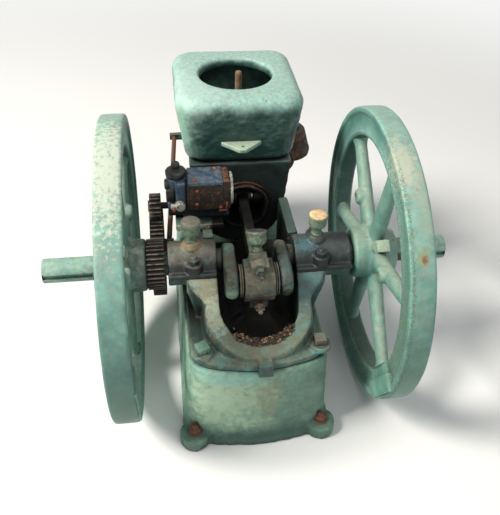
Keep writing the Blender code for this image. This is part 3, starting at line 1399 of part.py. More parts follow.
def spoke_boss(angle, wheel):
    """Boss on a spoke's inboard face, and the cutter of its blind hole."""
    proud = -SPOKE_FLATNESS * SPOKE_HUB_RADIUS - SPOKE_BOSS_PROUD
    boss = cylinder("spoke_boss", SPOKE_BOSS_RADIUS, (0, SPOKE_BOSS_AT, 0), (proud, SPOKE_BOSS_AT, 0), wheel, 16)
    start = (proud + 2 * SPOKE_BOSS_PROUD, SPOKE_BOSS_AT, 0)
    end = (2 * proud, SPOKE_BOSS_AT, 0)
    hole = cylinder("boss_hole", SPOKE_BOSS_HOLE, start, end, wheel, 12)
    turned_boss = boss.rotation_euler.to_matrix()
    turned_hole = hole.rotation_euler.to_matrix()
    spun(boss, angle)
    spun(hole, angle)
    boss.rotation_euler = (Matrix.Rotation(angle, 3, "X") @ turned_boss).to_euler()
    hole.rotation_euler = (Matrix.Rotation(angle, 3, "X") @ turned_hole).to_euler()
    return boss, hole


def screw_line(phase, side):
    """Where the hub screw's axis stands on the hub, and its direction."""
    angle = wheel_angle(phase + SCREW_FROM_SPOKE, side)
    return Vector((HUB_OUTBOARD - SCREW_FROM_NOSE, 0, 0)), Vector((0, math.cos(angle), math.sin(angle)))


def key_box(name, side, inner, outer, grow, wheel):
    """A bar on the side of the shaft that faces away from the head, between two places along it."""
    deep = SHAFT_RADIUS - KEY_HEIGHT / 2 - grow
    top = SHAFT_RADIUS + KEY_HEIGHT / 2 + grow
    half = KEY_WIDTH / 2 + grow
    low = (min(inner, outer), min(-side * deep, -side * top), -half)
    high = (max(inner, outer), max(-side * deep, -side * top), half)
    return box(name, low, high, wheel)


def flywheel(name, wheel, side, phase):
    """Rim, hub and spokes in one casting, about its own centre; its +X points outboard."""
    rim = turned(name, rim_profile(), "X", (0, 0, 0), wheel, RIM_ROUND, ring=True)
    hub = turned("hub", hub_profile(), "X", (0, 0, 0), wheel, BEARING_ROUND, ring=True)
    angles = [wheel_angle(phase + 2 * math.pi * i / SPOKE_COUNT, side) for i in range(SPOKE_COUNT)]
    spokes = [spoke(angle, wheel) for angle in angles]
    bosses = []
    holes = []
    for angle in angles[0:3:2]:
        boss, hole = spoke_boss(angle, wheel)
        bosses.append(boss)
        holes.append(hole)
    x, direction = screw_line(phase, side)
    start = x + direction * (SHAFT_RADIUS + 0.008)
    end = x + direction * (HUB_RADIUS + SCREW_BOSS_HEIGHT)
    boss = cylinder("screw_boss", SCREW_BOSS_RADIUS, start, end, wheel, 20)
    pads = rim_pad(wheel_angle(phase + PAD_FROM_SPOKE, side), wheel)
    joined(rim, hub, *spokes, *bosses, *pads, boss)
    keyway = key_box("keyway", side, -2 * HUB_INBOARD, 2 * HUB_OUTBOARD, SEAT_GAP, wheel)
    cut(rim, keyway, *holes)
    return finished(rim, "teal_paint")


def hub_screw(name, wheel, side, phase):
    """Square-headed set screw on the hub's boss."""
    x, direction = screw_line(phase, side)
    seat = HUB_RADIUS + SCREW_BOSS_HEIGHT + SEAT_GAP
    bm = bmesh.new()
    bmesh.ops.create_cube(bm, size=1.0)
    bmesh.ops.scale(bm, vec=(SCREW_HEAD, SCREW_HEAD, SCREW_HEAD_HEIGHT), verts=bm.verts)
    centre = x + direction * (seat + SCREW_HEAD_HEIGHT / 2)
    rotation = direction.to_track_quat("Z", "X").to_euler()
    head = placed(name, mesh_from(name, bm), centre, rotation, wheel)
    bevel = head.modifiers.new("edges", "BEVEL")
    bevel.width = 0.0015
    bevel.segments = 1
    return finished(head, "rusty_iron")


def crankshaft_end(name, inner, side, axis):
    """One outer length of the crankshaft, with its keyway on the side that faces away from the head."""
    start = (inner + side * SHAFT_SPLIT, 0, 0)
    end = (side * SHAFT_END, 0, 0)
    shaft = cylinder(name, SHAFT_RADIUS, start, end, axis, BEARING_ROUND)
    near = side * (HUB_FACE + 0.004)
    far = side * (SHAFT_END + 0.010)
    cut(shaft, key_box("keyway", 1, near, far, SEAT_GAP, axis))
    return finished(shaft, "teal_paint")


def hub_key(name, wheel, side):
    """Plain key between the hub and the shaft, standing a little out of the hub's nose."""
    inner = -HUB_INBOARD + 0.008
    outer = HUB_OUTBOARD + KEY_PROJECTION
    return finished(key_box(name, side, inner, outer, 0.0, wheel), "worn_iron")


def build_fixed(engine):
    sub_base(engine)
    crankcase_frame(engine)
    left_cup = PIT_LEFT - CUP_FROM_PIT
    right_cup = PIT_RIGHT + CUP_FROM_PIT
    main_bearing_cap(engine, "main_bearing_cap_left", PIT_LEFT, -BEARING_LEFT_END, left_cup)
    main_bearing_cap(engine, "main_bearing_cap_right", PIT_RIGHT, BEARING_RIGHT_END, right_cup)
    grease_cup(engine, "grease_cup_left", left_cup)
    grease_cup(engine, "grease_cup_right", right_cup)
    crank_throw(engine)
    connecting_rod(engine)
    rod_cap(engine)
    rod_grease_cup(engine)
    wrist_pin(engine)
    piston(engine)
    cylinder_block(engine)
    hopper(engine)
    hopper_stud(engine)
    cylinder_head(engine)
    exhaust_elbow(engine)
    exhaust_pot(engine)
    mixer(engine)
    fuel_pipe(engine)
    spark_plug(engine)
    rocker_bracket(engine)
    rocker_arm(engine)
    exhaust_valve(engine)
    valve_spring(engine)
    push_rod(engine)
    push_rod_guide(engine)
    cam_gear_stud(engine)


def build_magneto(engine):
    magneto_bracket(engine)
    magneto_body(engine)
    magneto_pole_block(engine)
    magneto_cover(engine)
    magneto_end_plate(engine)
    magneto_cap(engine)
    magneto_terminal(engine)


def build_turning(engine):
    crank_axis = pivot("crank_axis", (0, 0, 0), engine)
    cam_axis = pivot("cam_axis", (0, CAM_Y, CAM_Z), engine)
    magneto_axis = pivot("magneto_axis", (0, CAM_Y, MAGNETO_Z), engine)
    left_wheel = pivot("left_wheel", (-WHEEL_FROM_CENTRE, 0, 0), crank_axis, math.pi)
    right_wheel = pivot("right_wheel", (WHEEL_FROM_CENTRE, 0, 0), crank_axis)
    flywheel("flywheel_left", left_wheel, -1, LEFT_SPOKE_PHASE)
    flywheel("flywheel_right", right_wheel, 1, RIGHT_SPOKE_PHASE)
    hub_screw("hub_screw_left", left_wheel, -1, LEFT_SPOKE_PHASE)
    hub_screw("hub_screw_right", right_wheel, 1, RIGHT_SPOKE_PHASE)
    hub_key("hub_key_left", left_wheel, -1)
    hub_key("hub_key_right", right_wheel, 1)
    crankshaft_end("crankshaft_left", JOURNAL_LEFT, -1, crank_axis)
    crankshaft_end("crankshaft_right", JOURNAL_RIGHT, 1, crank_axis)
    crank_gear(crank_axis)
    cam_phase = meshing_phase(CRANK_TEETH, CAM_DIRECTION, CAM_DIRECTION, CAM_TEETH)
    cam_gear(cam_axis, cam_phase)
    pinion_phase = meshing_phase(CAM_TEETH, cam_phase, math.pi / 2, MAGNETO_TEETH)
    magneto_pinion(magneto_axis, pinion_phase)


def main():
    clear_scene()
    engine = pivot("engine", (0, CRANK_Y, CRANK_HEIGHT))
    build_fixed(engine)
    build_magneto(engine)
    build_turning(engine)


main()
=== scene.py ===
"""Looks of the hopper-cooled stationary gas engine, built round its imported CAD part.

Every mesh is laid out from the middle of the crankshaft axis (+X along the shaft to the right-hand wheel, +Y to
the cylinder head, +Z up, metres) and raised into the row frame when it is fitted on its CAD body.
"""

import logging
import math
import random
from collections.abc import Sequence
from dataclasses import dataclass, replace
from enum import Enum
from statistics import NormalDist

import bmesh
import bpy
from mathutils import Matrix, Vector, noise

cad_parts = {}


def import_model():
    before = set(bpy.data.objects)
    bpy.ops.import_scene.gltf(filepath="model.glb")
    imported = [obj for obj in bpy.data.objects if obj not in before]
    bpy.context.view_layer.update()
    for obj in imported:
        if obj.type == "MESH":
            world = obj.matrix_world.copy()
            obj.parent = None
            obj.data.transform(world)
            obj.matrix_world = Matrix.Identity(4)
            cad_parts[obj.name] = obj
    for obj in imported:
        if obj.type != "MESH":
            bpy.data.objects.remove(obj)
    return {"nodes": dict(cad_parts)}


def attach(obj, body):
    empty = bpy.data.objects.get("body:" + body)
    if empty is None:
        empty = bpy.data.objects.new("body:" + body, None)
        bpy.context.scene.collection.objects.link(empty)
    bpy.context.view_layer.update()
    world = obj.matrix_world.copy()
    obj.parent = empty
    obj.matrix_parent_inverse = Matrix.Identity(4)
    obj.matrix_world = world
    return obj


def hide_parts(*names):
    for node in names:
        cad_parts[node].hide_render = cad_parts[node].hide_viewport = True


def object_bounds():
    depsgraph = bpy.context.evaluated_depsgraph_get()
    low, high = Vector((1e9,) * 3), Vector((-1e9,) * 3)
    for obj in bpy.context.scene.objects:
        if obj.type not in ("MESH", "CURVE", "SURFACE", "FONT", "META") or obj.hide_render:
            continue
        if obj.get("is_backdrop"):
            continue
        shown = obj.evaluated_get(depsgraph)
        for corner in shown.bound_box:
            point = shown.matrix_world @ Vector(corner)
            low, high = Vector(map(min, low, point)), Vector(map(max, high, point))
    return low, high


LOG = logging.getLogger("gas_engine")
CRANK = Vector((0.0, -0.11515, 0.270))
X, Y, Z = Vector((1, 0, 0)), Vector((0, 1, 0)), Vector((0, 0, 1))
MM = 0.001
NODES: dict[str, bpy.types.Object] = {}
Point = tuple[float, float]
Place = Sequence[float]


class Body(Enum):
    """CAD bodies that the pieces ride on."""

    ENGINE = "engine"
    WHEELS = "flywheels"
    CAM = "cam_gear_body"
    ROTOR = "magneto_rotor"


class Slot(Enum):
    """Material slots of the record."""

    PAINTED = "painted_casting"
    WORN_IRON = "worn_iron"
    RUSTY_IRON = "rusty_iron"
    STEEL = "steel"
    ALUMINIUM = "magneto_aluminium"
    MOULDING = "black_moulding"
    BRASS = "brass"


# --------------------------------------------------------------------------------------------- materials


def linear(colour: str) -> tuple[float, float, float, float]:
    """Turns an sRGB hex colour into linear RGBA.

    Args:
        colour: Six hex digits with a leading #.

    Returns:
        Linear red, green, blue and an alpha of 1.
    """
    parts = [int(colour[i : i + 2], 16) / 255 for i in (1, 3, 5)]
    red, green, blue = (c / 12.92 if c <= 0.04045 else ((c + 0.055) / 1.055) ** 2.4 for c in parts)
    return (red, green, blue, 1.0)


def add(tree: bpy.types.NodeTree, kind: str, inputs: dict[str | int, object], **settings: object) -> bpy.types.Node:
    """Adds a node with its settings and its inputs.

    Args:
        tree: Node tree that takes the node.
        kind: Node type without the ShaderNode prefix.
        inputs: Value, or socket to link from, for each input by name or number.
        settings: Attributes of the node.

    Returns:
        The new node.
    """
    node = tree.nodes.new("ShaderNode" + kind)
    for name, value in settings.items():
        setattr(node, name, value)
    for name, value in inputs.items():
        if isinstance(value, bpy.types.NodeSocket):
            tree.links.new(value, node.inputs[name])
        else:
            node.inputs[name].default_value = value
    return node


@dataclass(frozen=True)
class Layer:
    """One coat over a finish: dirt, rust, chalk or bare metal, and in a few finishes painted light or shade.

    Attributes:
        colour: sRGB hex of the coat where it is thick.
        cover: Share of the surface that it covers on average.
        size: Typical patch size in millimetres.
        roughness: Surface roughness of the coat.
        metallic: Metallic value of the coat.
        edge: How much it gathers on sharp outer edges.
        cavity: How much it gathers in corners and hollows.
        up: How much it gathers on faces that look up.
        soft: Width of its border, in noise units.
        relief: Height it adds, in millimetres.
        strength: Opacity where it is thickest.
        side: How much it gathers on faces that look towards -Y.
    """

    colour: str
    cover: float
    size: float
    roughness: float = 0.85
    metallic: float = 0.0
    edge: float = 0.0
    cavity: float = 0.0
    up: float = 0.0
    soft: float = 0.05
    relief: float = 0.0
    strength: float = 1.0
    side: float = 0.0


@dataclass(frozen=True)
class Stain:
    """A mark at one place: oil in the pit, a rust spot, a patch of dust, or painted light or shade.

    Attributes:
        colour: sRGB hex of the mark.
        centre: Its middle about the crank's centre.
        radii: Its reach along X, Y and Z.
        strength: Opacity in the middle.
        roughness: Surface roughness of the mark.
        soft: Width of its border as a share of its reach.
        ragged: How far noise moves the border, as a share of its reach.
        size: Size of that noise in millimetres.
        power: 2 for an ellipsoid; higher values come near a box.
    """

    colour: str
    centre: Place
    radii: Place
    strength: float = 1.0
    roughness: float = 0.85
    soft: float = 0.15
    ragged: float = 0.3
    size: float = 12.0
    power: float = 2.0


@dataclass(frozen=True)
class Finish:
    """A surface: its base colours, its skin and its coats of wear.

    Attributes:
        name: Name of the material.
        light: sRGB hex of the base where it is freshest.
        deep: sRGB hex that the base drifts to in wide patches.
        roughness: Base roughness.
        metallic: Base metallic value.
        skin: Height of the foundry or machining texture in millimetres.
        grain: Size of that texture in millimetres.
        drift: Size of the wide patches in millimetres.
        hollow_shade: Painted shade in hollows: how much darker they become, from 0 to 1.
        settled: How much smoother faces that look up are, from 0 to 1.
        speckle: Strength of the fine light and dark grain, from 0 to 1.
        well_shade: Painted shade: blackness of deep wells that little light gets into, from 0 to 1.
        layers: Coats of wear, some of them painted light or shade, undermost first.
        stains: Marks at one place, undermost first.
    """

    name: str
    light: str
    deep: str
    roughness: float
    metallic: float = 0.0
    skin: float = 0.12
    grain: float = 3.0
    drift: float = 110.0
    hollow_shade: float = 0.55
    settled: float = 0.0
    speckle: float = 0.22
    well_shade: float = 0.0
    layers: tuple[Layer, ...] = ()
    stains: tuple[Stain, ...] = ()

    def material(self) -> bpy.types.Material:
        """Builds the material, or returns it if it exists."""
        found = bpy.data.materials.get(self.name)
        if found is not None:
            return found
        material = bpy.data.materials.new(self.name)
        material.use_nodes = True
        material.node_tree.nodes.clear()
        Coats(material.node_tree, self).build()
        return material


class Coats:
    """Shader graph of a finish: base colours, coats of wear, painted light and shade, and relief."""

    # Pull of tilted faces, sharp edges and hollows on a coat, in noise units, and the noise's standard deviation.
    TILT, RIDGE, HOLLOW, SPREAD = 0.12, 0.22, 0.30, 0.085
    CORNER_REACH = 0.022
    WELL_REACH = 0.16

    def __init__(self, tree: bpy.types.NodeTree, finish: Finish) -> None:
        """Adds the shared coordinate nodes.

        Args:
            tree: Empty node tree of the material.
            finish: Finish to build.
        """
        self.tree = tree
        self.finish = finish
        self.coords = add(tree, "TexCoord", {})
        self.normal = add(tree, "SeparateXYZ", {0: self.coords.outputs["Normal"]})
        self.pointiness = add(tree, "NewGeometry", {}).outputs["Pointiness"]
        self.hollow = add(tree, "AmbientOcclusion", {"Distance": self.CORNER_REACH}, samples=6).outputs["AO"]

    def math(self, operation: str, *values: object) -> bpy.types.NodeSocket:
        """Adds a Math node.

        Args:
            operation: Name of the operation.
            values: Values or sockets for its inputs.

        Returns:
            Its output socket.
        """
        return add(self.tree, "Math", dict(enumerate(values)), operation=operation).outputs[0]

    def vector(self, operation: str, *values: object) -> bpy.types.NodeSocket:
        """Adds a Vector Math node."""
        return add(self.tree, "VectorMath", dict(enumerate(values)), operation=operation).outputs[0]

    def shade(self, colour: object, share: object, factor: float = 1.0) -> bpy.types.NodeSocket:
        """Multiplies a colour by a number."""
        grey = add(self.tree, "CombineColor", {0: share, 1: share, 2: share}).outputs[0]
        return self.mix(factor, colour, grey, "MULTIPLY")

    def pattern(self, size: float, detail: float = 5.0, shift: float = 0.0) -> bpy.types.NodeSocket:
        """Adds a noise pattern in object space.

        Args:
            size: Typical feature size in millimetres.
            detail: Octaves of finer noise.
            shift: Offset in metres that gives another pattern of the same size.

        Returns:
            The noise value, about 0.5 on average.
        """
        place = self.vector("ADD", self.coords.outputs["Object"], (shift, shift * 0.7, -shift))
        inputs = {"Vector": place, "Scale": 1.0 / (size * MM), "Detail": detail, "Roughness": 0.58}
        return add(self.tree, "TexNoise", inputs).outputs[0]

    def mask(self, value: object, threshold: float, soft: float) -> bpy.types.NodeSocket:
        """Maps a value to 0 below a threshold and 1 above it, with a soft border."""
        inputs = {"Value": value, "From Min": threshold - soft, "From Max": threshold + soft}
        return add(self.tree, "MapRange", inputs, interpolation_type="SMOOTHSTEP").outputs[0]

    def mix(self, factor: object, under: object, over: object, blend: str = "MIX") -> bpy.types.NodeSocket:
        """Mixes two colours."""
        inputs = {0: factor, 6: under, 7: over}
        return add(self.tree, "Mix", inputs, data_type="RGBA", blend_type=blend).outputs[2]

    def blend(self, factor: object, under: object, over: object) -> bpy.types.NodeSocket:
        """Mixes two numbers."""
        return add(self.tree, "Mix", {0: factor, 2: under, 3: over}, data_type="FLOAT").outputs[0]

    def layer_mask(self, layer: Layer, shift: float) -> bpy.types.NodeSocket:
        """Where a coat lies.

        Args:
            layer: The coat.
            shift: Offset of its pattern in metres.

        Returns:
            Cover from 0 to the coat's strength.
        """
        value = self.pattern(layer.size, 6.0, shift)
        if layer.up:
            value = self.math("MULTIPLY_ADD", self.normal.outputs["Z"], self.TILT * layer.up, value)
        if layer.side:
            value = self.math("MULTIPLY_ADD", self.normal.outputs["Y"], -self.TILT * layer.side, value)
        if layer.edge:
            ridge = self.mask(self.pointiness, 0.56, 0.055)
            value = self.math("MULTIPLY_ADD", ridge, self.RIDGE * layer.edge, value)
        if layer.cavity:
            hollow = self.math("SUBTRACT", 1.0, self.hollow)
            value = self.math("MULTIPLY_ADD", hollow, self.HOLLOW * layer.cavity, value)
        threshold = 0.5 + self.SPREAD * NormalDist().inv_cdf(1.0 - layer.cover)
        return self.math("MULTIPLY", self.mask(value, threshold, layer.soft), layer.strength)

    def stain_mask(self, stain: Stain, shift: float) -> bpy.types.NodeSocket:
        """Where a mark lies.

        Args:
            stain: The mark.
            shift: Offset of its noise in metres.

        Returns:
            Cover from 0 to the mark's strength.
        """
        away = self.vector("SUBTRACT", self.coords.outputs["Object"], tuple(Vector(stain.centre) + CRANK))
        size = self.vector("ABSOLUTE", self.vector("DIVIDE", away, tuple(stain.radii)))
        parts = add(self.tree, "SeparateXYZ", {0: size}).outputs
        x, y, z = (self.math("POWER", part, stain.power) for part in parts)
        reach = self.math("POWER", self.math("ADD", self.math("ADD", x, y), z), 1.0 / stain.power)
        wobble = self.math("SUBTRACT", self.pattern(stain.size, 4.0, shift), 0.5)
        reach = self.math("MULTIPLY_ADD", wobble, 4.0 * stain.ragged, reach)
        inside = self.math("SUBTRACT", 1.0, self.mask(reach, 1.0, stain.soft))
        return self.math("MULTIPLY", inside, stain.strength)

    def build(self) -> None:
        """Adds the base, the coats and the relief, and links the output."""
        finish = self.finish
        wide = self.mask(self.pattern(finish.drift, 3.0), 0.5, 0.22)
        small = self.mask(self.pattern(finish.grain * 5, 5.0, 0.31), 0.5, 0.28)
        share = self.math("MULTIPLY_ADD", small, 0.35, self.math("MULTIPLY", wide, 0.65))
        colour = self.mix(share, linear(finish.light), linear(finish.deep))
        speck = self.math("MULTIPLY_ADD", self.pattern(finish.grain * 0.4, 2.0, 0.77), 0.5, 0.75)
        colour = self.shade(colour, speck, finish.speckle)
        roughness: object = finish.roughness
        metallic: object = finish.metallic
        skin = self.pattern(finish.grain, 4.0, 0.13)
        height = self.math("MULTIPLY", skin, finish.skin * MM)
        swell = self.pattern(finish.grain * 7, 2.0, 0.53)
        height = self.math("MULTIPLY_ADD", swell, finish.skin * MM * 2.5, height)
        if finish.settled:
            level = add(self.tree, "Clamp", {0: self.normal.outputs["Z"]}).outputs[0]
            height = self.math("MULTIPLY", height, self.math("MULTIPLY_ADD", level, -finish.settled, 1.0))
        for index, layer in enumerate(finish.layers):
            mask = self.layer_mask(layer, 1.7 + 0.9 * index)
            tone = self.pattern(max(layer.size * 0.2, 1.0), 4.0, 2.9 + index)
            shade = self.mix(self.mask(tone, 0.5, 0.25), linear(layer.colour), linear(darker(layer.colour, 0.80)))
            colour = self.mix(mask, colour, shade)
            roughness = self.blend(mask, roughness, layer.roughness)
            if layer.metallic or finish.metallic:
                metallic = self.blend(mask, metallic, layer.metallic)
            if layer.relief:
                height = self.math("MULTIPLY_ADD", mask, layer.relief * MM, height)
        for index, stain in enumerate(finish.stains):
            mask = self.stain_mask(stain, 6.1 + 0.7 * index)
            colour = self.mix(mask, colour, linear(stain.colour))
            roughness = self.blend(mask, roughness, stain.roughness)
        # Painted shade: deep wells that little light reaches are turned black.
        if finish.well_shade:
            sky = add(self.tree, "AmbientOcclusion", {"Distance": self.WELL_REACH}, samples=8).outputs["AO"]
            shut = self.math("SUBTRACT", 1.0, self.mask(sky, 0.33, 0.17))
            mask = self.math("MULTIPLY", shut, finish.well_shade)
            colour = self.mix(mask, colour, linear(OIL_AND_SHADE_BLACK))
            roughness = self.blend(mask, roughness, 0.55)
        # Painted shade: hollows darkened by occlusion.
        dark = self.math("MULTIPLY_ADD", self.hollow, finish.hollow_shade, 1.0 - finish.hollow_shade)
        colour = self.shade(colour, dark)
        bump = add(self.tree, "Bump", {"Height": height, "Strength": 1.0, "Distance": 1.0})
        inputs = {"Base Color": colour, "Roughness": roughness, "Metallic": metallic, "Normal": bump.outputs[0]}
        shader = add(self.tree, "BsdfPrincipled", inputs)
        add(self.tree, "OutputMaterial", {"Surface": shader.outputs[0]})


def darker(colour: str, share: float) -> str:
    """A hex colour multiplied by a share.

    Args:
        colour: Six hex digits with a leading #.
        share: Factor for each channel.

    Returns:
        The new hex colour.
    """
    parts = [round(int(colour[i : i + 2], 16) * share) for i in (1, 3, 5)]
    return "#{:02x}{:02x}{:02x}".format(*parts)


# Black of old sump oil with a wet shine; also the painted shade in deep wells, the pit, the bore and on the shank in
# the bore.
OIL_AND_SHADE_BLACK = "#0b0c0b"
# Black over the pit's inside: old oil and painted shade.
PIT_OIL_AND_SHADE = Stain(OIL_AND_SHADE_BLACK, (0.006, 0.040, -0.040), (0.0668, 0.1790, 0.150), 0.97, 0.5, 0.012, 0.010, 10.0, 4.0)
# Old oil enamel on grey iron: satin blue-green, chalked on faces that look up, with sandy stains, a few rust
# spots and dark corners.
CHALK = Layer("#8fb9ad", 0.38, 40.0, roughness=0.72, up=2.0, soft=0.30, strength=0.5)
SAND = Layer("#988f78", 0.07, 14.0, roughness=0.9, up=0.8, soft=0.10, strength=0.45)
RUST_SPOTS = Layer("#7a4a2a", 0.004, 12.0, roughness=0.92, edge=0.25, soft=0.03, relief=-0.05, strength=0.85)
CHIPS = Layer("#3c413d", 0.005, 7.0, roughness=0.7, edge=0.8, soft=0.03, relief=-0.06, strength=0.8)
DAMP = Layer("#1f2f2b", 0.14, 60.0, roughness=0.8, cavity=1.3, soft=0.18, strength=0.65)
WEAR = (DAMP, CHALK, SAND, RUST_SPOTS, CHIPS)
PAINT = Finish("enamel_teal", "#447269", "#2f5650", 0.44, skin=0.16, grain=4.0, layers=WEAR)
# The same enamel on the cylinder block, its front painted near-black: oil splashed by the open crank, and painted
# shade.
BLOCK_PAINT = replace(
    PAINT, name="enamel_block", well_shade=0.8,
    stains=(Stain("#0e1513", (0.006, 0.150, 0.000), (0.135, 0.030, 0.125), 0.95, 0.45, 0.30, 0.15, 25.0, 3.0),),
)
# Hopper: the dark front, pale left corner and pale top follow the photograph's shade and sun as much as chalk.
HOPPER_PAINT = Finish(
    # Deep inside the mouth the tank is painted black as shade.
    "enamel_hopper", "#386259", "#244944", 0.36, skin=0.60, grain=6.5, drift=80.0, settled=0.8, well_shade=0.97,
    layers=(
        DAMP,
        Layer("#a2c9bd", 0.16, 34.0, roughness=0.58, up=4.2, soft=0.26, strength=0.88),
        Layer("#b3ab93", 0.015, 9.0, roughness=0.9, up=1.2, soft=0.10, strength=0.4),
        RUST_SPOTS,
        CHIPS,
    ),
    stains=(
        Stain("#1f3d38", (0.006, 0.150, 0.146), (0.094, 0.022, 0.056), 0.72, 0.34, 0.26, 0.15, 30.0, 4.0),
        Stain("#a3cfb8", (-0.110, 0.172, 0.160), (0.022, 0.036, 0.080), 0.6, 0.6, 0.5, 0.4, 20.0),
        Stain("#c4ddd2", (-0.090, 0.200, 0.224), (0.050, 0.090, 0.030), 0.30, 0.6, 0.6, 0.8, 16.0),
        Stain("#a5683f", (0.086, 0.166, 0.211), (0.0042, 0.0042, 0.0042), 0.9, 0.9, 0.35, 0.35, 4.0),
        Stain("#7d5a44", (0.010, 0.392, 0.215), (0.030, 0.012, 0.010), 0.7, 0.9, 0.4, 0.4, 8.0),
    ),
)
# Enamel made pale as painted light, its top paler still: the hopper's lug and the hub screws.
SUNLIT_PAINT = Finish(
    "enamel_sunlit", "#7fa392", "#638b7d", 0.5, skin=0.2, grain=3.0,
    layers=(DAMP, Layer("#b9c9ae", 0.55, 14.0, roughness=0.7, up=2.0, soft=0.15, strength=0.8)),
)
# Base: the pale left and top band and the dark right and foot follow the photograph's sun and shade.
BASE_PAINT = Finish(
    "enamel_base", "#588c7b", "#3e6e62", 0.48, skin=0.42, grain=5.0, drift=90.0, well_shade=0.6,
    layers=(
        DAMP,
        Layer("#a0c3a6", 0.44, 42.0, roughness=0.8, up=1.2, side=1.1, soft=0.34, strength=0.6),
        Layer("#85806a", 0.07, 12.0, roughness=0.92, soft=0.08, strength=0.5, relief=0.10),
        Layer("#6f7a66", 0.05, 4.0, roughness=0.95, soft=0.05, strength=0.45, relief=0.22),
        RUST_SPOTS,
        CHIPS,
    ),
    stains=(
        Stain("#b2c3a8", (-0.066, -0.185, -0.160), (0.062, 0.05, 0.066), 0.55, 0.88, 0.5, 0.8, 16.0),
        Stain("#36524c", (0.082, -0.185, -0.170), (0.056, 0.06, 0.075), 0.45, 0.6, 0.6, 0.5, 26.0),
        Stain("#8a8268", (0.012, -0.180, -0.155), (0.018, 0.05, 0.060), 0.45, 0.92, 0.8, 0.9, 12.0),
        Stain("#2c4642", (0.0, -0.16, -0.262), (0.150, 0.05, 0.030), 0.8, 0.85, 0.5, 0.25, 30.0),
        Stain("#84bdb2", (-0.060, -0.175, -0.110), (0.064, 0.05, 0.012), 0.55, 0.45, 0.8, 0.8, 20.0),
    ),
)
# Frame: dusty rim; the left arm pale with dust and painted light; the dark left side, tail lug, right arm and right
# rail are painted shade.
FRAME_PAINT = Finish(
    "enamel_frame", "#3d6962", "#294c48", 0.5, skin=0.24, grain=4.0, drift=60.0, well_shade=0.9,
    layers=(
        DAMP,
        Layer("#88886f", 0.24, 22.0, roughness=0.85, up=2.2, soft=0.16, strength=0.65, relief=0.04),
        Layer("#5f9a90", 0.14, 16.0, roughness=0.45, up=0.6, soft=0.07, strength=0.6),
        Layer("#6b4a33", 0.010, 14.0, roughness=0.92, edge=0.3, soft=0.05, strength=0.8),
        CHIPS,
    ),
    stains=(
        Stain("#8b8770", (0.006, -0.150, -0.070), (0.060, 0.022, 0.016), 0.45, 0.9, 0.6, 0.8, 9.0),
        Stain("#233a38", (0.0055, -0.176, -0.088), (0.020, 0.016, 0.018), 0.7, 0.6, 0.4, 0.3, 10.0),
        Stain("#989078", (-0.080, -0.070, -0.008), (0.026, 0.042, 0.022), 0.6, 0.88, 0.5, 0.9, 7.0),
        Stain("#b3b39a", (-0.070, -0.100, -0.035), (0.018, 0.040, 0.026), 0.5, 0.88, 0.5, 1.0, 7.0),
        Stain("#1c2a28", (-0.099, -0.020, -0.086), (0.026, 0.092, 0.030), 0.8, 0.6, 0.3, 0.25, 14.0, 3.0),
        Stain("#28505a", (0.098, -0.062, -0.020), (0.040, 0.050, 0.040), 0.55, 0.5, 0.5, 0.5, 12.0),
        Stain("#223a3a", (0.090, 0.100, 0.010), (0.030, 0.075, 0.030), 0.75, 0.5, 0.4, 0.3, 20.0),
        PIT_OIL_AND_SHADE,
    ),
)
# Spokes and hubs: the dark left hub is grease and shade in one.
WHEEL_PAINT = Finish(
    "enamel_wheel", "#4b7f73", "#3b6c65", 0.40, skin=0.08, grain=3.0,
    layers=(
        Layer("#a2c6b2", 0.42, 60.0, roughness=0.66, up=2.4, soft=0.36, strength=0.6),
        Layer("#a59d86", 0.06, 9.0, roughness=0.88, up=1.6, soft=0.12, strength=0.45),
        RUST_SPOTS,
        Layer("#3d4640", 0.010, 8.0, roughness=0.8, edge=0.7, soft=0.04, strength=0.8),
    ),
    stains=(Stain("#26241f", (-0.178, 0.0, -0.004), (0.030, 0.054, 0.054), 0.78, 0.5, 0.3, 0.3, 12.0, 3.0),),
)
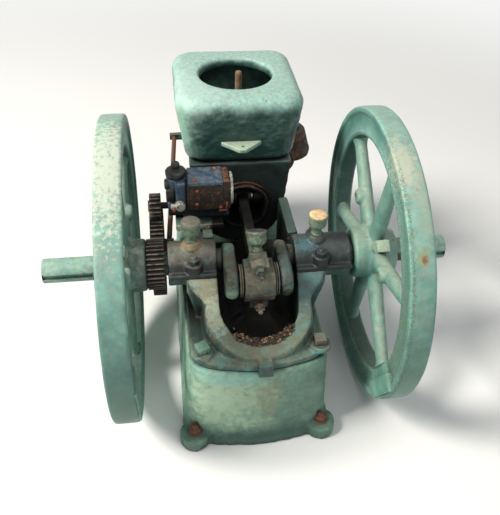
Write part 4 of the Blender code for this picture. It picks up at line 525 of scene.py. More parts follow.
# Rims: the dark green on the lower fronts follows the photograph's shade; the inner face is mossy.
RIM_PAINT = Finish(
    "enamel_rim", "#467d74", "#3b6e67", 0.36, skin=0.05, grain=2.5, drift=130.0,
    layers=(
        Layer("#93c0b2", 0.30, 80.0, roughness=0.55, up=3.2, soft=0.36, strength=0.65),
        Layer("#aaa38c", 0.030, 10.0, roughness=0.86, up=1.6, soft=0.12, strength=0.4),
        RUST_SPOTS,
        # Pale line along the sharp edges: painted highlight.
        Layer("#8fc4ac", 0.05, 40.0, roughness=0.6, edge=1.5, soft=0.16, strength=0.6),
    ),
    stains=(
        Stain("#bfb7a2", (0.208, -0.092, 0.236), (0.018, 0.045, 0.030), 0.6, 0.88, 0.7, 0.9, 7.0),
        Stain("#a9a58e", (0.226, -0.150, 0.203), (0.008, 0.050, 0.050), 0.35, 0.88, 0.8, 0.9, 8.0),
        Stain("#8b9c86", (0.214, -0.242, 0.075), (0.012, 0.030, 0.030), 0.35, 0.88, 0.8, 0.9, 9.0),
        Stain("#8b8c60", (0.2155, -0.2048, 0.1502), (0.0090, 0.0120, 0.0140), 0.75, 0.9, 0.6, 0.8, 5.0),
        Stain("#7d4a36", (0.2181, -0.2066, 0.1477), (0.0040, 0.0050, 0.0055), 0.85, 0.95, 0.7, 0.8, 3.0),
        Stain("#d2d3c1", (-0.216, -0.075, 0.238), (0.026, 0.100, 0.052), 0.6, 0.88, 0.6, 1.3, 6.0),
        Stain("#8f977f", (-0.216, -0.235, -0.090), (0.014, 0.03, 0.050), 0.3, 0.88, 0.8, 0.9, 9.0),
        Stain("#2c463f", (-0.216, -0.245, -0.030), (0.040, 0.110, 0.130), 0.55, 0.7, 0.6, 0.5, 34.0),
        Stain("#435e4d", (0.216, -0.245, -0.050), (0.040, 0.110, 0.110), 0.45, 0.7, 0.6, 0.5, 34.0),
        Stain("#4d5a48", (0.2005, -0.150, 0.020), (0.0036, 0.120, 0.200), 0.6, 0.95, 0.5, 1.1, 3.0),
        Stain("#28332b", (0.0, 0.0, 0.0), (9.0, 0.2040, 0.2040), 0.72, 0.9, 0.006, 0.006, 3.0),
    ),
)
SHAFT_PAINT = Finish(
    "enamel_shaft", "#5c9084", "#44756d", 0.45, skin=0.05, grain=2.0, drift=70.0,
    layers=(
        Layer("#a3bfab", 0.36, 40.0, roughness=0.7, up=2.0, soft=0.18, strength=0.7),
        Layer("#7f7560", 0.08, 22.0, roughness=0.9, soft=0.08, strength=0.6),
        RUST_SPOTS,
        CHIPS,
    ),
)
# Painted iron rubbed through to dark oily metal: wide islands of the enamel are left. The near-black fronts and
# right end of the bearing caps follow the photograph's shadows as much as oil.
RUBBED = Finish(
    "rubbed_iron", "#4a4944", "#2b2d2c", 0.48, metallic=0.2, skin=0.20, grain=2.6, drift=50.0, well_shade=0.7,
    layers=(
        Layer("#3f7068", 0.24, 13.0, roughness=0.45, soft=0.035, relief=0.12),
        Layer("#86806f", 0.16, 16.0, roughness=0.9, up=2.2, soft=0.16, strength=0.6),
        Layer("#5e3f2c", 0.02, 7.0, roughness=0.92, soft=0.05),
    ),
    stains=(
        Stain("#9c8b69", (-0.101, 0.0, 0.041), (0.0205, 0.0205, 0.0090), 0.75, 0.9, 0.35, 0.45, 6.0),
        Stain("#8c8367", (0.113, 0.0, 0.040), (0.0200, 0.0200, 0.0080), 0.55, 0.9, 0.35, 0.35, 7.0),
        Stain("#222d30", (0.122, 0.0, 0.010), (0.062, 0.060, 0.060), 0.84, 0.5, 0.15, 0.45, 10.0, 4.0),
        Stain("#3f6c72", (0.092, -0.016, 0.032), (0.015, 0.018, 0.014), 0.6, 0.45, 0.12, 1.5, 4.0),
        Stain("#141b1c", (0.006, -0.058, -0.004), (0.170, 0.0420, 0.0410), 0.94, 0.5, 0.30, 0.25, 14.0, 3.0),
    ),
)
# Forged and machined iron under old grease and dust.
GREASY = Finish(
    "greasy_iron", "#3b3935", "#242321", 0.42, metallic=0.25, skin=0.16, grain=2.0, drift=40.0, well_shade=0.8,
    layers=(
        Layer("#3d6a60", 0.28, 13.0, roughness=0.45, up=0.6, soft=0.045, relief=0.08),
        Layer("#6e6453", 0.14, 12.0, roughness=0.88, up=1.8, soft=0.14, strength=0.65),
        Layer("#62402a", 0.02, 6.0, roughness=0.92, soft=0.06),
    ),
)
# The webs' ends still carry most of their paint, the left web's made paler as painted light; their flanks are oily
# black.
WEB_IRON = replace(
    GREASY, name="web_iron",
    stains=(
        Stain("#86a88e", (-0.039, -0.084, -0.012), (0.0110, 0.012, 0.017), 0.75, 0.6, 0.5, 0.5, 8.0),
        Stain("#7f9b84", (-0.039, 0.010, 0.028), (0.0140, 0.020, 0.010), 0.7, 0.6, 0.5, 0.7, 6.0),
        Stain("#213b46", (0.051, -0.055, 0.020), (0.0200, 0.030, 0.022), 0.5, 0.55, 0.6, 0.5, 9.0),
    ),
)
# The shank runs back into the bore, painted black as thrown oil and as shade; the pale strip on its left edge is
# painted light.
SHANK_IRON = replace(
    GREASY, name="shank_iron",
    stains=(
        Stain(OIL_AND_SHADE_BLACK, (0.006, 0.104, 0.0), (0.060, 0.112, 0.060), 0.9, 0.5, 0.2, 0.1, 12.0, 3.0),
        Stain("#93a083", (-0.008, 0.020, 0.016), (0.0085, 0.045, 0.016), 0.75, 0.7, 0.4, 0.6, 7.0),
    ),
)
# Crown and skirt of the piston under burnt oil; deep in the bore it is painted black as shade.
PISTON_IRON = Finish(
    "piston_iron", "#2a2421", "#151312", 0.45, metallic=0.3, skin=0.06, grain=1.6, drift=20.0, well_shade=0.95,
    layers=(Layer("#4f3020", 0.14, 9.0, roughness=0.9, soft=0.08, strength=0.8),),
)
# The rod's cap: grey-tan dust baked on the grease.
ROD_IRON = Finish(
    "dusty_iron", "#4b4840", "#2e2d29", 0.5, metallic=0.2, skin=0.14, grain=2.0, drift=30.0, well_shade=0.6,
    layers=(
        Layer("#857e6a", 0.42, 16.0, roughness=0.88, up=1.8, soft=0.16, strength=0.75),
        Layer("#3d6a60", 0.10, 9.0, roughness=0.45, soft=0.05, relief=0.06),
        Layer("#6a452c", 0.03, 7.0, roughness=0.92, soft=0.06),
    ),
)
# Nut and stud end of the rod's lower bolt, dry and grey-brown.
BOLT_IRON = replace(
    ROD_IRON, name="bolt_iron", light="#8e8672", deep="#6b5a48",
    layers=(
        Layer("#a59c86", 0.30, 6.0, roughness=0.85, soft=0.1),
        Layer("#5c3d28", 0.16, 4.0, roughness=0.92, soft=0.08),
    ),
)
# Dark hardened teeth with dry brown grease; the tan on their edges is wear and painted highlight, the black in the gaps
# painted shade.
GEAR_IRON = Finish(
    "gear_iron", "#665847", "#3c342b", 0.5, metallic=0.45, skin=0.08, grain=1.6, drift=24.0, hollow_shade=0.92,
    layers=(
        Layer("#6f553a", 0.26, 7.0, roughness=0.9, soft=0.10, strength=0.8),
        Layer("#8d7b60", 0.12, 5.0, roughness=0.8, edge=0.9, soft=0.12, strength=0.7),
        Layer("#100d0b", 0.16, 8.0, roughness=0.7, cavity=3.2, soft=0.12),
    ),
)
# Red-brown rust over grey iron.
RUSTY = Finish(
    "rusty_iron", "#5c4130", "#37291f", 0.86, metallic=0.1, skin=0.30, grain=1.8, drift=18.0,
    layers=(
        Layer("#8a5632", 0.28, 7.0, roughness=0.95, soft=0.08, relief=0.10),
        Layer("#6d6a58", 0.12, 12.0, roughness=0.9, up=1.0, soft=0.10),
    ),
)
# Dry threads of the stud, gone tan.
STUD_RUST = replace(RUSTY, name="stud_rust", light="#9c8058", deep="#634b33")
# Orange bloom in the bosses' holes.
BOSS_RUST = Finish("boss_rust", "#b8792f", "#774520", 0.9, skin=0.20, grain=1.2, drift=6.0)
# Iron pole shoe of the magneto: nearly black oxide with dull rust bloom.
POLE = Finish(
    "pole_iron", "#3d342c", "#221f1b", 0.72, metallic=0.3, skin=0.14, grain=1.4, drift=22.0,
    layers=(
        Layer("#6d4530", 0.26, 9.0, roughness=0.92, soft=0.08, strength=0.85),
        Layer("#8f8674", 0.06, 3.0, roughness=0.9, soft=0.05, strength=0.6),
    ),
)
# Bare steel gone dull.
STEEL = Finish("dull_steel", "#8e8d88", "#6e6b66", 0.42, metallic=0.85, skin=0.03, grain=1.2, drift=20.0)
# Die-cast aluminium with grey oxide, its base blue as the sky's reflection makes it in the photograph.
ALUMINIUM = Finish(
    "cast_aluminium", "#546c82", "#40556a", 0.40, metallic=0.45, skin=0.05, grain=1.5, drift=30.0,
    layers=(
        Layer("#3f454b", 0.10, 6.0, roughness=0.8, cavity=1.2, soft=0.08, strength=0.8),
        Layer("#8f948f", 0.05, 9.0, roughness=0.85, edge=0.6, soft=0.12, strength=0.5),
        Layer("#5b4636", 0.03, 5.0, roughness=0.9, soft=0.05, strength=0.8),
    ),
    # Near-black under the pole shoe: painted shade.
    stains=(Stain("#15191b", (-0.082, 0.075, 0.036), (0.066, 0.034, 0.0215), 0.85, 0.6, 0.3, 0.2, 10.0, 4.0),),
)
# Zinc-coated fittings with white bloom.
ZINC = Finish(
    "zinc_fitting", "#c3c1b4", "#9d9b90", 0.6, metallic=0.3, skin=0.06, grain=1.2, drift=15.0,
    layers=(Layer("#5e5a50", 0.12, 4.0, roughness=0.85, cavity=1.0, soft=0.08),),
)
# Phenolic moulding, matte with dust.
MOULDING = Finish(
    "black_phenolic", "#1d1f20", "#131415", 0.42, skin=0.02, grain=1.5, drift=20.0,
    layers=(Layer("#5a5a52", 0.14, 6.0, roughness=0.9, up=1.2, soft=0.12, strength=0.5),),
)
COPPER = Finish("copper_screw", "#b0714f", "#7c4b35", 0.5, metallic=0.6, skin=0.06, grain=1.0, drift=6.0)
BRASS = Finish(
    "dull_brass", "#9a7f48", "#77623a", 0.45, metallic=0.75, skin=0.05, grain=1.4, drift=16.0,
    layers=(Layer("#4a4a38", 0.20, 8.0, roughness=0.85, cavity=1.0, soft=0.10, strength=0.8),),
)
# Old pale enamel on the grease cups, greyed with grease.
CUP_PAINT = Finish(
    "cup_enamel", "#74907c", "#56715f", 0.5, skin=0.10, grain=2.0, drift=16.0,
    layers=(
        Layer("#3d4f44", 0.16, 8.0, roughness=0.6, cavity=1.4, soft=0.12, strength=0.7),
        Layer("#97a98c", 0.24, 6.0, roughness=0.8, up=0.8, soft=0.14, strength=0.6),
        Layer("#8a7a5c", 0.06, 4.0, roughness=0.9, edge=0.8, soft=0.08, strength=0.7),
    ),
)
# The rod's cup is thrown about in oil, so it is darker.
OILY_CUP = replace(CUP_PAINT, name="cup_enamel_oily", light="#56705f", deep="#34493f")
OILY_LID = Finish("cup_lid_oily", "#4a4648", "#333234", 0.5, skin=0.08, grain=1.6, drift=10.0)
# Lid of a grease cup: paint gone to sandy rust.
LID = Finish(
    "cup_lid", "#d3b88c", "#c4a06c", 0.85, skin=0.14, grain=1.6, drift=12.0,
    layers=(
        Layer("#c48a50", 0.24, 7.0, roughness=0.95, soft=0.14, strength=0.6),
        Layer("#efe2b8", 0.26, 7.0, roughness=0.9, soft=0.12, strength=0.75),
    ),
)
DULL_LID = Finish(
    "cup_lid_dull", "#a39c89", "#8b8575", 0.85, skin=0.14, grain=1.6, drift=12.0,
    layers=(Layer("#846a50", 0.16, 7.0, roughness=0.95, soft=0.12, strength=0.5),),
)
# Crumbs of leaf mould, soil and rust flakes.
CRUMBS = Finish("dry_dirt", "#574536", "#2c231b", 0.95, skin=0.3, grain=1.0, drift=7.0, hollow_shade=0.4)
FLAKES = Finish("leaf_flakes", "#ab9270", "#6b5238", 0.9, skin=0.1, grain=1.0, drift=6.0, hollow_shade=0.4)
SLUDGE = Finish("sump_sludge", "#14120f", "#0a0a09", 0.35, skin=0.5, grain=4.0, drift=30.0, hollow_shade=0.7)
# Rusty edge of the bore, its lower part painted black as shade.
BORE_RUST_AND_SHADE = Finish(
    "bore_rust_and_shade", "#8a4d26", "#4a2a1a", 0.7, metallic=0.15, skin=0.10, grain=1.6, drift=20.0,
    stains=(Stain(OIL_AND_SHADE_BLACK, (0.006, 0.158, -0.040), (0.200, 0.050, 0.080), 0.97, 0.5, 0.12, 0.1, 8.0, 6.0),),
)
# Scaled cast iron of the silencer pot.
SCALE = Finish(
    "scaled_iron", "#41332b", "#261f1b", 0.85, metallic=0.1, skin=0.30, grain=2.4, drift=30.0,
    layers=(
        Layer("#7a4a2e", 0.24, 14.0, roughness=0.95, soft=0.10, relief=0.12, strength=0.85),
        Layer("#5f5b50", 0.14, 9.0, roughness=0.9, up=1.4, soft=0.12, strength=0.7),
    ),
)


# ---------------------------------------------------------------------------------------------- geometry


def basis(axis: Vector) -> tuple[Vector, Vector]:
    """Two unit vectors square to an axis.

    Args:
        axis: Unit vector.

    Returns:
        First and second vector; with the axis they make a right-handed set. For +X they are +Y and +Z.
    """
    if abs(axis.x) > 0.999:
        first = Vector((0, 1, 0))
    elif abs(axis.y) > 0.999:
        first = Vector((0, 0, 1))
    else:
        first = Vector((1, 0, 0)) - axis * axis.x
        first.normalize()
    return first, axis.cross(first)


def circle(radius: float, count: int, phase: float = 0.0) -> list[Point]:
    """Points of a regular polygon."""
    angles = [phase + 2 * math.pi * i / count for i in range(count)]
    return [(radius * math.cos(a), radius * math.sin(a)) for a in angles]


def bar(radius: float, low: float, high: float) -> list[Point]:
    """Profile of a plain cylinder between two heights."""
    return [(0, low), (radius, low), (radius, high), (0, high)]


def inset(outline: Sequence[Point], depth: float) -> list[Point]:
    """Moves every side of a counter-clockwise outline inwards.

    Args:
        outline: Points in order.
        depth: Distance in metres.

    Returns:
        The new points, as many as before.
    """
    result = []
    count = len(outline)
    for i, (x, y) in enumerate(outline):
        ax, ay = outline[i - 1]
        bx, by = outline[(i + 1) % count]
        first = Vector((y - ay, ax - x)).normalized()
        second = Vector((by - y, x - bx)).normalized()
        scale = depth / max(0.35, 1.0 + first.dot(second))
        move = (first + second) * scale
        result.append((x - move.x, y - move.y))
    return result


def rounded(width: float, height: float, corner: float, steps: int = 5) -> list[Point]:
    """Counter-clockwise outline of a rectangle with round corners about the origin."""
    points = []
    for index, (sx, sy) in enumerate(((1, -1), (1, 1), (-1, 1), (-1, -1))):
        for step in range(steps + 1):
            angle = math.radians(-90 + 90 * index + 90 * step / steps)
            x = sx * (width / 2 - corner) + corner * math.cos(angle)
            y = sy * (height / 2 - corner) + corner * math.sin(angle)
            points.append((x, y))
    return points


class Shape:
    """Closed surfaces gathered into one mesh."""

    def __init__(self) -> None:
        """Starts empty."""
        self.points: list[Vector] = []
        self.faces: list[tuple[int, ...]] = []

    def loft(self, rings: Sequence[Sequence[Vector]], closed: bool = False) -> "Shape":
        """Joins rings of equal length; the first and last are capped unless the loft closes on itself.

        Args:
            rings: Rings of points.
            closed: True if the last ring joins the first.

        Returns:
            The shape itself.
        """
        start = len(self.points)
        count = len(rings[0])
        for ring in rings:
            self.points.extend(ring)
        pairs = [(i, i + 1) for i in range(len(rings) - 1)]
        if closed:
            pairs.append((len(rings) - 1, 0))
        for a, b in pairs:
            for j in range(count):
                k = (j + 1) % count
                corners = (a * count + j, a * count + k, b * count + k, b * count + j)
                self.faces.append(tuple(start + corner for corner in corners))
        if not closed:
            self.faces.append(tuple(start + j for j in reversed(range(count))))
            last = start + (len(rings) - 1) * count
            self.faces.append(tuple(last + j for j in range(count)))
        return self

    def revolve(
        self, profile: Sequence[Point], axis: Vector, centre: Place, segments: int = 48, closed: bool = False
    ) -> "Shape":
        """Turns a profile of (radius, distance along the axis) about an axis.

        Args:
            profile: Points from one end to the other, or round a closed section.
            axis: Unit vector of the axis.
            centre: Point on the axis at distance 0.
            segments: Facets round the axis.
            closed: True for a closed section that doesn't meet the axis.

        Returns:
            The shape itself.
        """
        first, second = basis(axis)
        middle = Vector(centre)
        rings = []
        for radius, along in profile:
            ring = []
            for i in range(segments):
                angle = 2 * math.pi * i / segments
                out = first * math.cos(angle) + second * math.sin(angle)
                ring.append(middle + axis * along + out * max(radius, 0.0))
            rings.append(ring)
        return self.loft(rings, closed)

    def prism(
        self,
        outline: Sequence[Point],
        axis: Vector,
        start: Place,
        length: float,
        bevel: float = 0.0,
        steps: int = 2,
    ) -> "Shape":
        """Extrudes an outline along an axis, its end edges rounded.

        Args:
            outline: Counter-clockwise points in the plane square to the axis.
            axis: Unit vector to extrude along.
            start: Where the outline's origin lies on the first face.
            length: Length along the axis.
            bevel: Radius of the rounded end edges.
            steps: Facets of each rounded edge.

        Returns:
            The shape itself.
        """
        first, second = basis(axis)
        levels = [(0.0, 0.0), (length, 0.0)]
        if bevel:
            turns = [math.pi / 2 * i / steps for i in range(steps + 1)]
            levels = [(bevel * (1 - math.cos(t)), bevel * (1 - math.sin(t))) for t in turns]
            levels += [(length - along, depth) for along, depth in reversed(levels)]
        rings = []
        for along, depth in levels:
            flat = inset(outline, depth) if depth else outline
            origin = Vector(start) + axis * along
            rings.append([origin + first * u + second * v for u, v in flat])
        return self.loft(rings)

    def block(self, low: Place, high: Place, bevel: float = 0.0012, axis: Vector = Z) -> "Shape":
        """A box between two corners with rounded edges.

        Args:
            low: Lowest corner.
            high: Highest corner.
            bevel: Radius of its edges.
            axis: Axis that it is extruded along.

        Returns:
            The shape itself.
        """
        a, b = Vector(low), Vector(high)
        size = b - a
        first, second = basis(axis)
        width, height = abs(size.dot(first)), abs(size.dot(second))
        length = abs(size.dot(axis))
        outline = rounded(width, height, max(bevel, 0.0002), 3)
        start = (a + b) / 2 - axis * length / 2
        return self.prism(outline, axis, start, length, bevel)

    def tube(self, path: Sequence[Place], radius: float, sides: int = 16) -> "Shape":
        """A round bar along a line of points.

        Args:
            path: Points along its middle.
            radius: Radius of the bar.
            sides: Facets round the bar.

        Returns:
            The shape itself.
        """
        points = [Vector(p) for p in path]
        rings = []
        first = None
        for i, point in enumerate(points):
            before = points[max(i - 1, 0)]
            after = points[min(i + 1, len(points) - 1)]
            along = (after - before).normalized()
            if first is None:
                first = basis(along)[0]
            first = (first - along * first.dot(along)).normalized()
            second = along.cross(first)
            ring = [point + (first * u + second * v) for u, v in circle(radius, sides)]
            rings.append(ring)
        return self.loft(rings)

    def merge(self, other: "Shape", matrix: Matrix | None = None) -> "Shape":
        """Adds another shape's surfaces, moved by a matrix if one is given."""
        start = len(self.points)
        self.points.extend(matrix @ p if matrix else p.copy() for p in other.points)
        self.faces.extend(tuple(start + i for i in face) for face in other.faces)
        return self

    def mesh(self, name: str, sharp: float = 38.0) -> bpy.types.Mesh:
        """Makes the mesh, its faces turned outwards.

        Args:
            name: Name of the mesh.
            sharp: Angle in degrees above which edges stay sharp.

        Returns:
            The mesh.
        """
        mesh = bpy.data.meshes.new(name)
        mesh.from_pydata(self.points, [], self.faces)
        bm = bmesh.new()
        bm.from_mesh(mesh)
        bmesh.ops.remove_doubles(bm, verts=bm.verts, dist=1e-6)
        bmesh.ops.recalc_face_normals(bm, faces=bm.faces)
        bm.to_mesh(mesh)
        bm.free()
        mesh.shade_smooth()
        mesh.set_sharp_from_angle(angle=math.radians(sharp))
        return mesh


def node_shape(name: str) -> Shape:
    """The CAD node's own solid, about the crank's centre.

    Args:
        name: Name of the CAD node.

    Returns:
        Its surfaces as a shape.
    """
    shape = Shape()
    mesh = NODES[name].data
    shape.points = [v.co - CRANK for v in mesh.vertices]
    shape.faces = [tuple(p.vertices) for p in mesh.polygons]
    return shape


def temporary(mesh: bpy.types.Mesh) -> bpy.types.Object:
    """Links an object that only lives while a mesh is worked on."""
    obj = bpy.data.objects.new("work", mesh)
    bpy.context.scene.collection.objects.link(obj)
    return obj


def applied(obj: bpy.types.Object, name: str, cuts: Sequence[Shape]) -> bpy.types.Mesh:
    """Cuts shapes out of an object, applies its modifiers and removes it.

    Args:
        obj: Temporary object.
        name: Name of the new mesh.
        cuts: Shapes to cut away.

    Returns:
        The mesh with the modifiers applied.
    """
    tools = [temporary(cut.mesh("tool")) for cut in cuts]
    for tool in tools:
        tool.hide_render = True
        carve = obj.modifiers.new("carve", "BOOLEAN")
        carve.operation = "DIFFERENCE"
        carve.solver = "EXACT"
        carve.object = tool
    graph = bpy.context.evaluated_depsgraph_get()
    mesh = bpy.data.meshes.new_from_object(obj.evaluated_get(graph))
    mesh.name = name
    for used in (obj, *tools):
        bpy.data.objects.remove(used, do_unlink=True)
    mesh.shade_smooth()
    return mesh


def cast(
    name: str, shape: Shape, voxel: float, smooth: int = 4, keep: float = 0.45, cuts: Sequence[Shape] = ()
) -> bpy.types.Mesh:
    """Fuses closed surfaces into one casting with soft edges and filled corners.

    Args:
        name: Name of the mesh.
        shape: Closed surfaces that may overlap.
        voxel: Voxel size in millimetres.
        smooth: Rounds of smoothing.
        keep: Share of the triangles that stay.
        cuts: Shapes to cut away after that, with crisp edges.

    Returns:
        The mesh.
    """
    obj = temporary(shape.mesh(name + "_raw"))
    remesh = obj.modifiers.new("remesh", "REMESH")
    remesh.mode = "VOXEL"
    remesh.voxel_size = voxel * MM
    soften = obj.modifiers.new("soften", "SMOOTH")
    soften.iterations = smooth
    soften.factor = 0.5
    thin = obj.modifiers.new("thin", "DECIMATE")
    thin.ratio = keep
    mesh = applied(obj, name, cuts)
    if cuts:
        mesh.set_sharp_from_angle(angle=math.radians(50))
    return mesh


def carved(name: str, shape: Shape, cuts: Sequence[Shape], sharp: float = 38.0) -> bpy.types.Mesh:
    """Cuts shapes out of a clean one, without remeshing it."""
    obj = temporary(shape.mesh(name + "_raw"))
    mesh = applied(obj, name, cuts)
    mesh.set_sharp_from_angle(angle=math.radians(sharp))
    return mesh


def roughened(
    mesh: bpy.types.Mesh, height: float, size: float, seed: float = 0.0, upward: float = 1.0
) -> bpy.types.Mesh:
    """Moves the points in and out by smooth noise, as on a sand casting.

    Args:
        mesh: Mesh to change.
        height: Largest move in millimetres.
        size: Size of the swells in millimetres.
        seed: Offset that gives another pattern.
        upward: Share of the move that faces looking up keep.

    Returns:
        The same mesh.
    """
    normals = [n.vector.copy() for n in mesh.vertex_normals]
    for vertex, normal in zip(mesh.vertices, normals):
        place = vertex.co / (size * MM) + Vector((seed, seed * 1.7, -seed))
        swell = noise.noise(place) + 0.5 * noise.noise(place * 2.3)
        share = 1.0 + (upward - 1.0) * min(1.0, max(0.0, 1.6 * normal.z))
        vertex.co += normal * (height * MM * swell * share)
    return mesh


def hexagon(across: float) -> list[Point]:
    """Outline of a hexagon, by its width across flats."""
    return circle(across / math.sqrt(3), 6, math.pi / 6)


def nut(across: float, height: float, seat: Place, axis: Vector, sides: int = 6, stud: float = 0.004) -> Shape:
    """A nut with chamfered corners, its washer face and the stud's end standing out of it.

    Args:
        across: Width across flats.
        height: Height of the nut.
        seat: Middle of its seat.
        axis: Unit vector away from the seat.
        sides: 6 for a hexagon and 4 for a square.
        stud: How far the stud stands out.

    Returns:
        The shape.
    """
    base = Vector(seat)
    outline = hexagon(across) if sides == 6 else rounded(across, across, across * 0.06, 2)
    shape = Shape().prism(outline, axis, base, height, across * 0.07, 3)
    washer = across * (0.62 if sides == 6 else 0.72)
    shape.revolve(bar(washer, -0.0005, 0.0014), axis, base, 32)
    if stud > 0:
        radius = across * 0.28
        top = height + stud
        profile = [(0, height - 0.002), (radius, height - 0.002)]
        turns = max(2, round(stud / 0.0012))
        for i in range(turns):
            low = height + (stud - 0.001) * i / turns
            profile += [(radius, low), (radius * 0.88, low + 0.0004)]
        profile += [(radius * 0.9, top - 0.0008), (radius * 0.7, top), (0, top)]
        shape.revolve(profile, axis, base, 24)
    return shape


# -------------------------------------------------------------------------------------------- assemblies


@dataclass
class Assembly:
    """Base of the sub-assemblies: it fits finished meshes on their bodies."""

    def fit(
        self, name: str, mesh: bpy.types.Mesh, finish: Finish, slot: Slot, *replaces: str, body: Body = Body.ENGINE
    ) -> None:
        """Raises a mesh into the row frame, gives it its finish and lets it ride on its body.

        Args:
            name: Name of the piece.
            mesh: Its mesh about the crank's centre.
            finish: Its finish.
            slot: Material slot of the record.
            replaces: CAD nodes that it stands for.
            body: CAD body that it moves with.
        """
        mesh.transform(Matrix.Translation(CRANK))
        mesh.name = name
        mesh.materials.clear()
        mesh.materials.append(finish.material())
        obj = bpy.data.objects.new(name, mesh)
        bpy.context.scene.collection.objects.link(obj)
        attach(obj, body.value)
        if replaces:
            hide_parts(*replaces)
        LOG.info("%s: %d triangles", name, sum(len(p.vertices) - 2 for p in mesh.polygons))

    def cup(self, node: str, seat: Place, tilt: float, stem: float, paint: Finish, lid: Finish) -> None:
        """Builds a grease cup.

        Args:
            node: CAD node that it stands for.
            seat: Middle of its foot.
            tilt: Lean towards -Y in radians.
            stem: Height of its stem.
            paint: Finish of its body.
            lid: Finish of its lid.
        """
        axis = Vector((0, math.sin(tilt), math.cos(tilt)))
        top = stem + 0.024
        body = [
            (0, 0), (0.0090, 0.0), (0.0090, stem * 0.30), (0.0078, stem * 0.36), (0.0076, stem * 0.78),
            (0.0088, stem * 0.90), (0.0120, stem + 0.0006), (0.0142, stem + 0.0024), (0.0152, stem + 0.0052),
            (0.0155, stem + 0.0090), (0.0156, top - 0.0052), (0, top - 0.0052),
        ]
        shape = Shape().revolve(body, axis, seat, 56)
        mesh = roughened(shape.mesh(node + "_body", 40), 0.12, 6.0, stem)
        self.fit(node + "_body", mesh, paint, Slot.PAINTED, node)
        rim = [
            (0.0150, top - 0.0062), (0.0162, top - 0.0060), (0.0166, top - 0.0044), (0.0167, top - 0.0014),
            (0.0164, top - 0.0007), (0.0160, top - 0.0005), (0.0157, top - 0.0009), (0.0155, top - 0.0022),
        ]
        ring = Shape().revolve(rim, axis, seat, 64, closed=True)
        self.fit(node + "_rim", ring.mesh(node + "_rim", 50), paint, Slot.PAINTED)
        disc = [(0, top - 0.0056), (0.0156, top - 0.0056), (0.0156, top - 0.0008), (0.0151, top - 0.0002)]
        disc += [(0.0080, top), (0, top)]
        plate = roughened(Shape().revolve(disc, axis, seat, 56).mesh(node + "_lid", 50), 0.15, 4.0)
        self.fit(node + "_lid", plate, lid, Slot.PAINTED)

    def build(self) -> None:
        """Builds every piece of the sub-assembly."""
        raise NotImplementedError


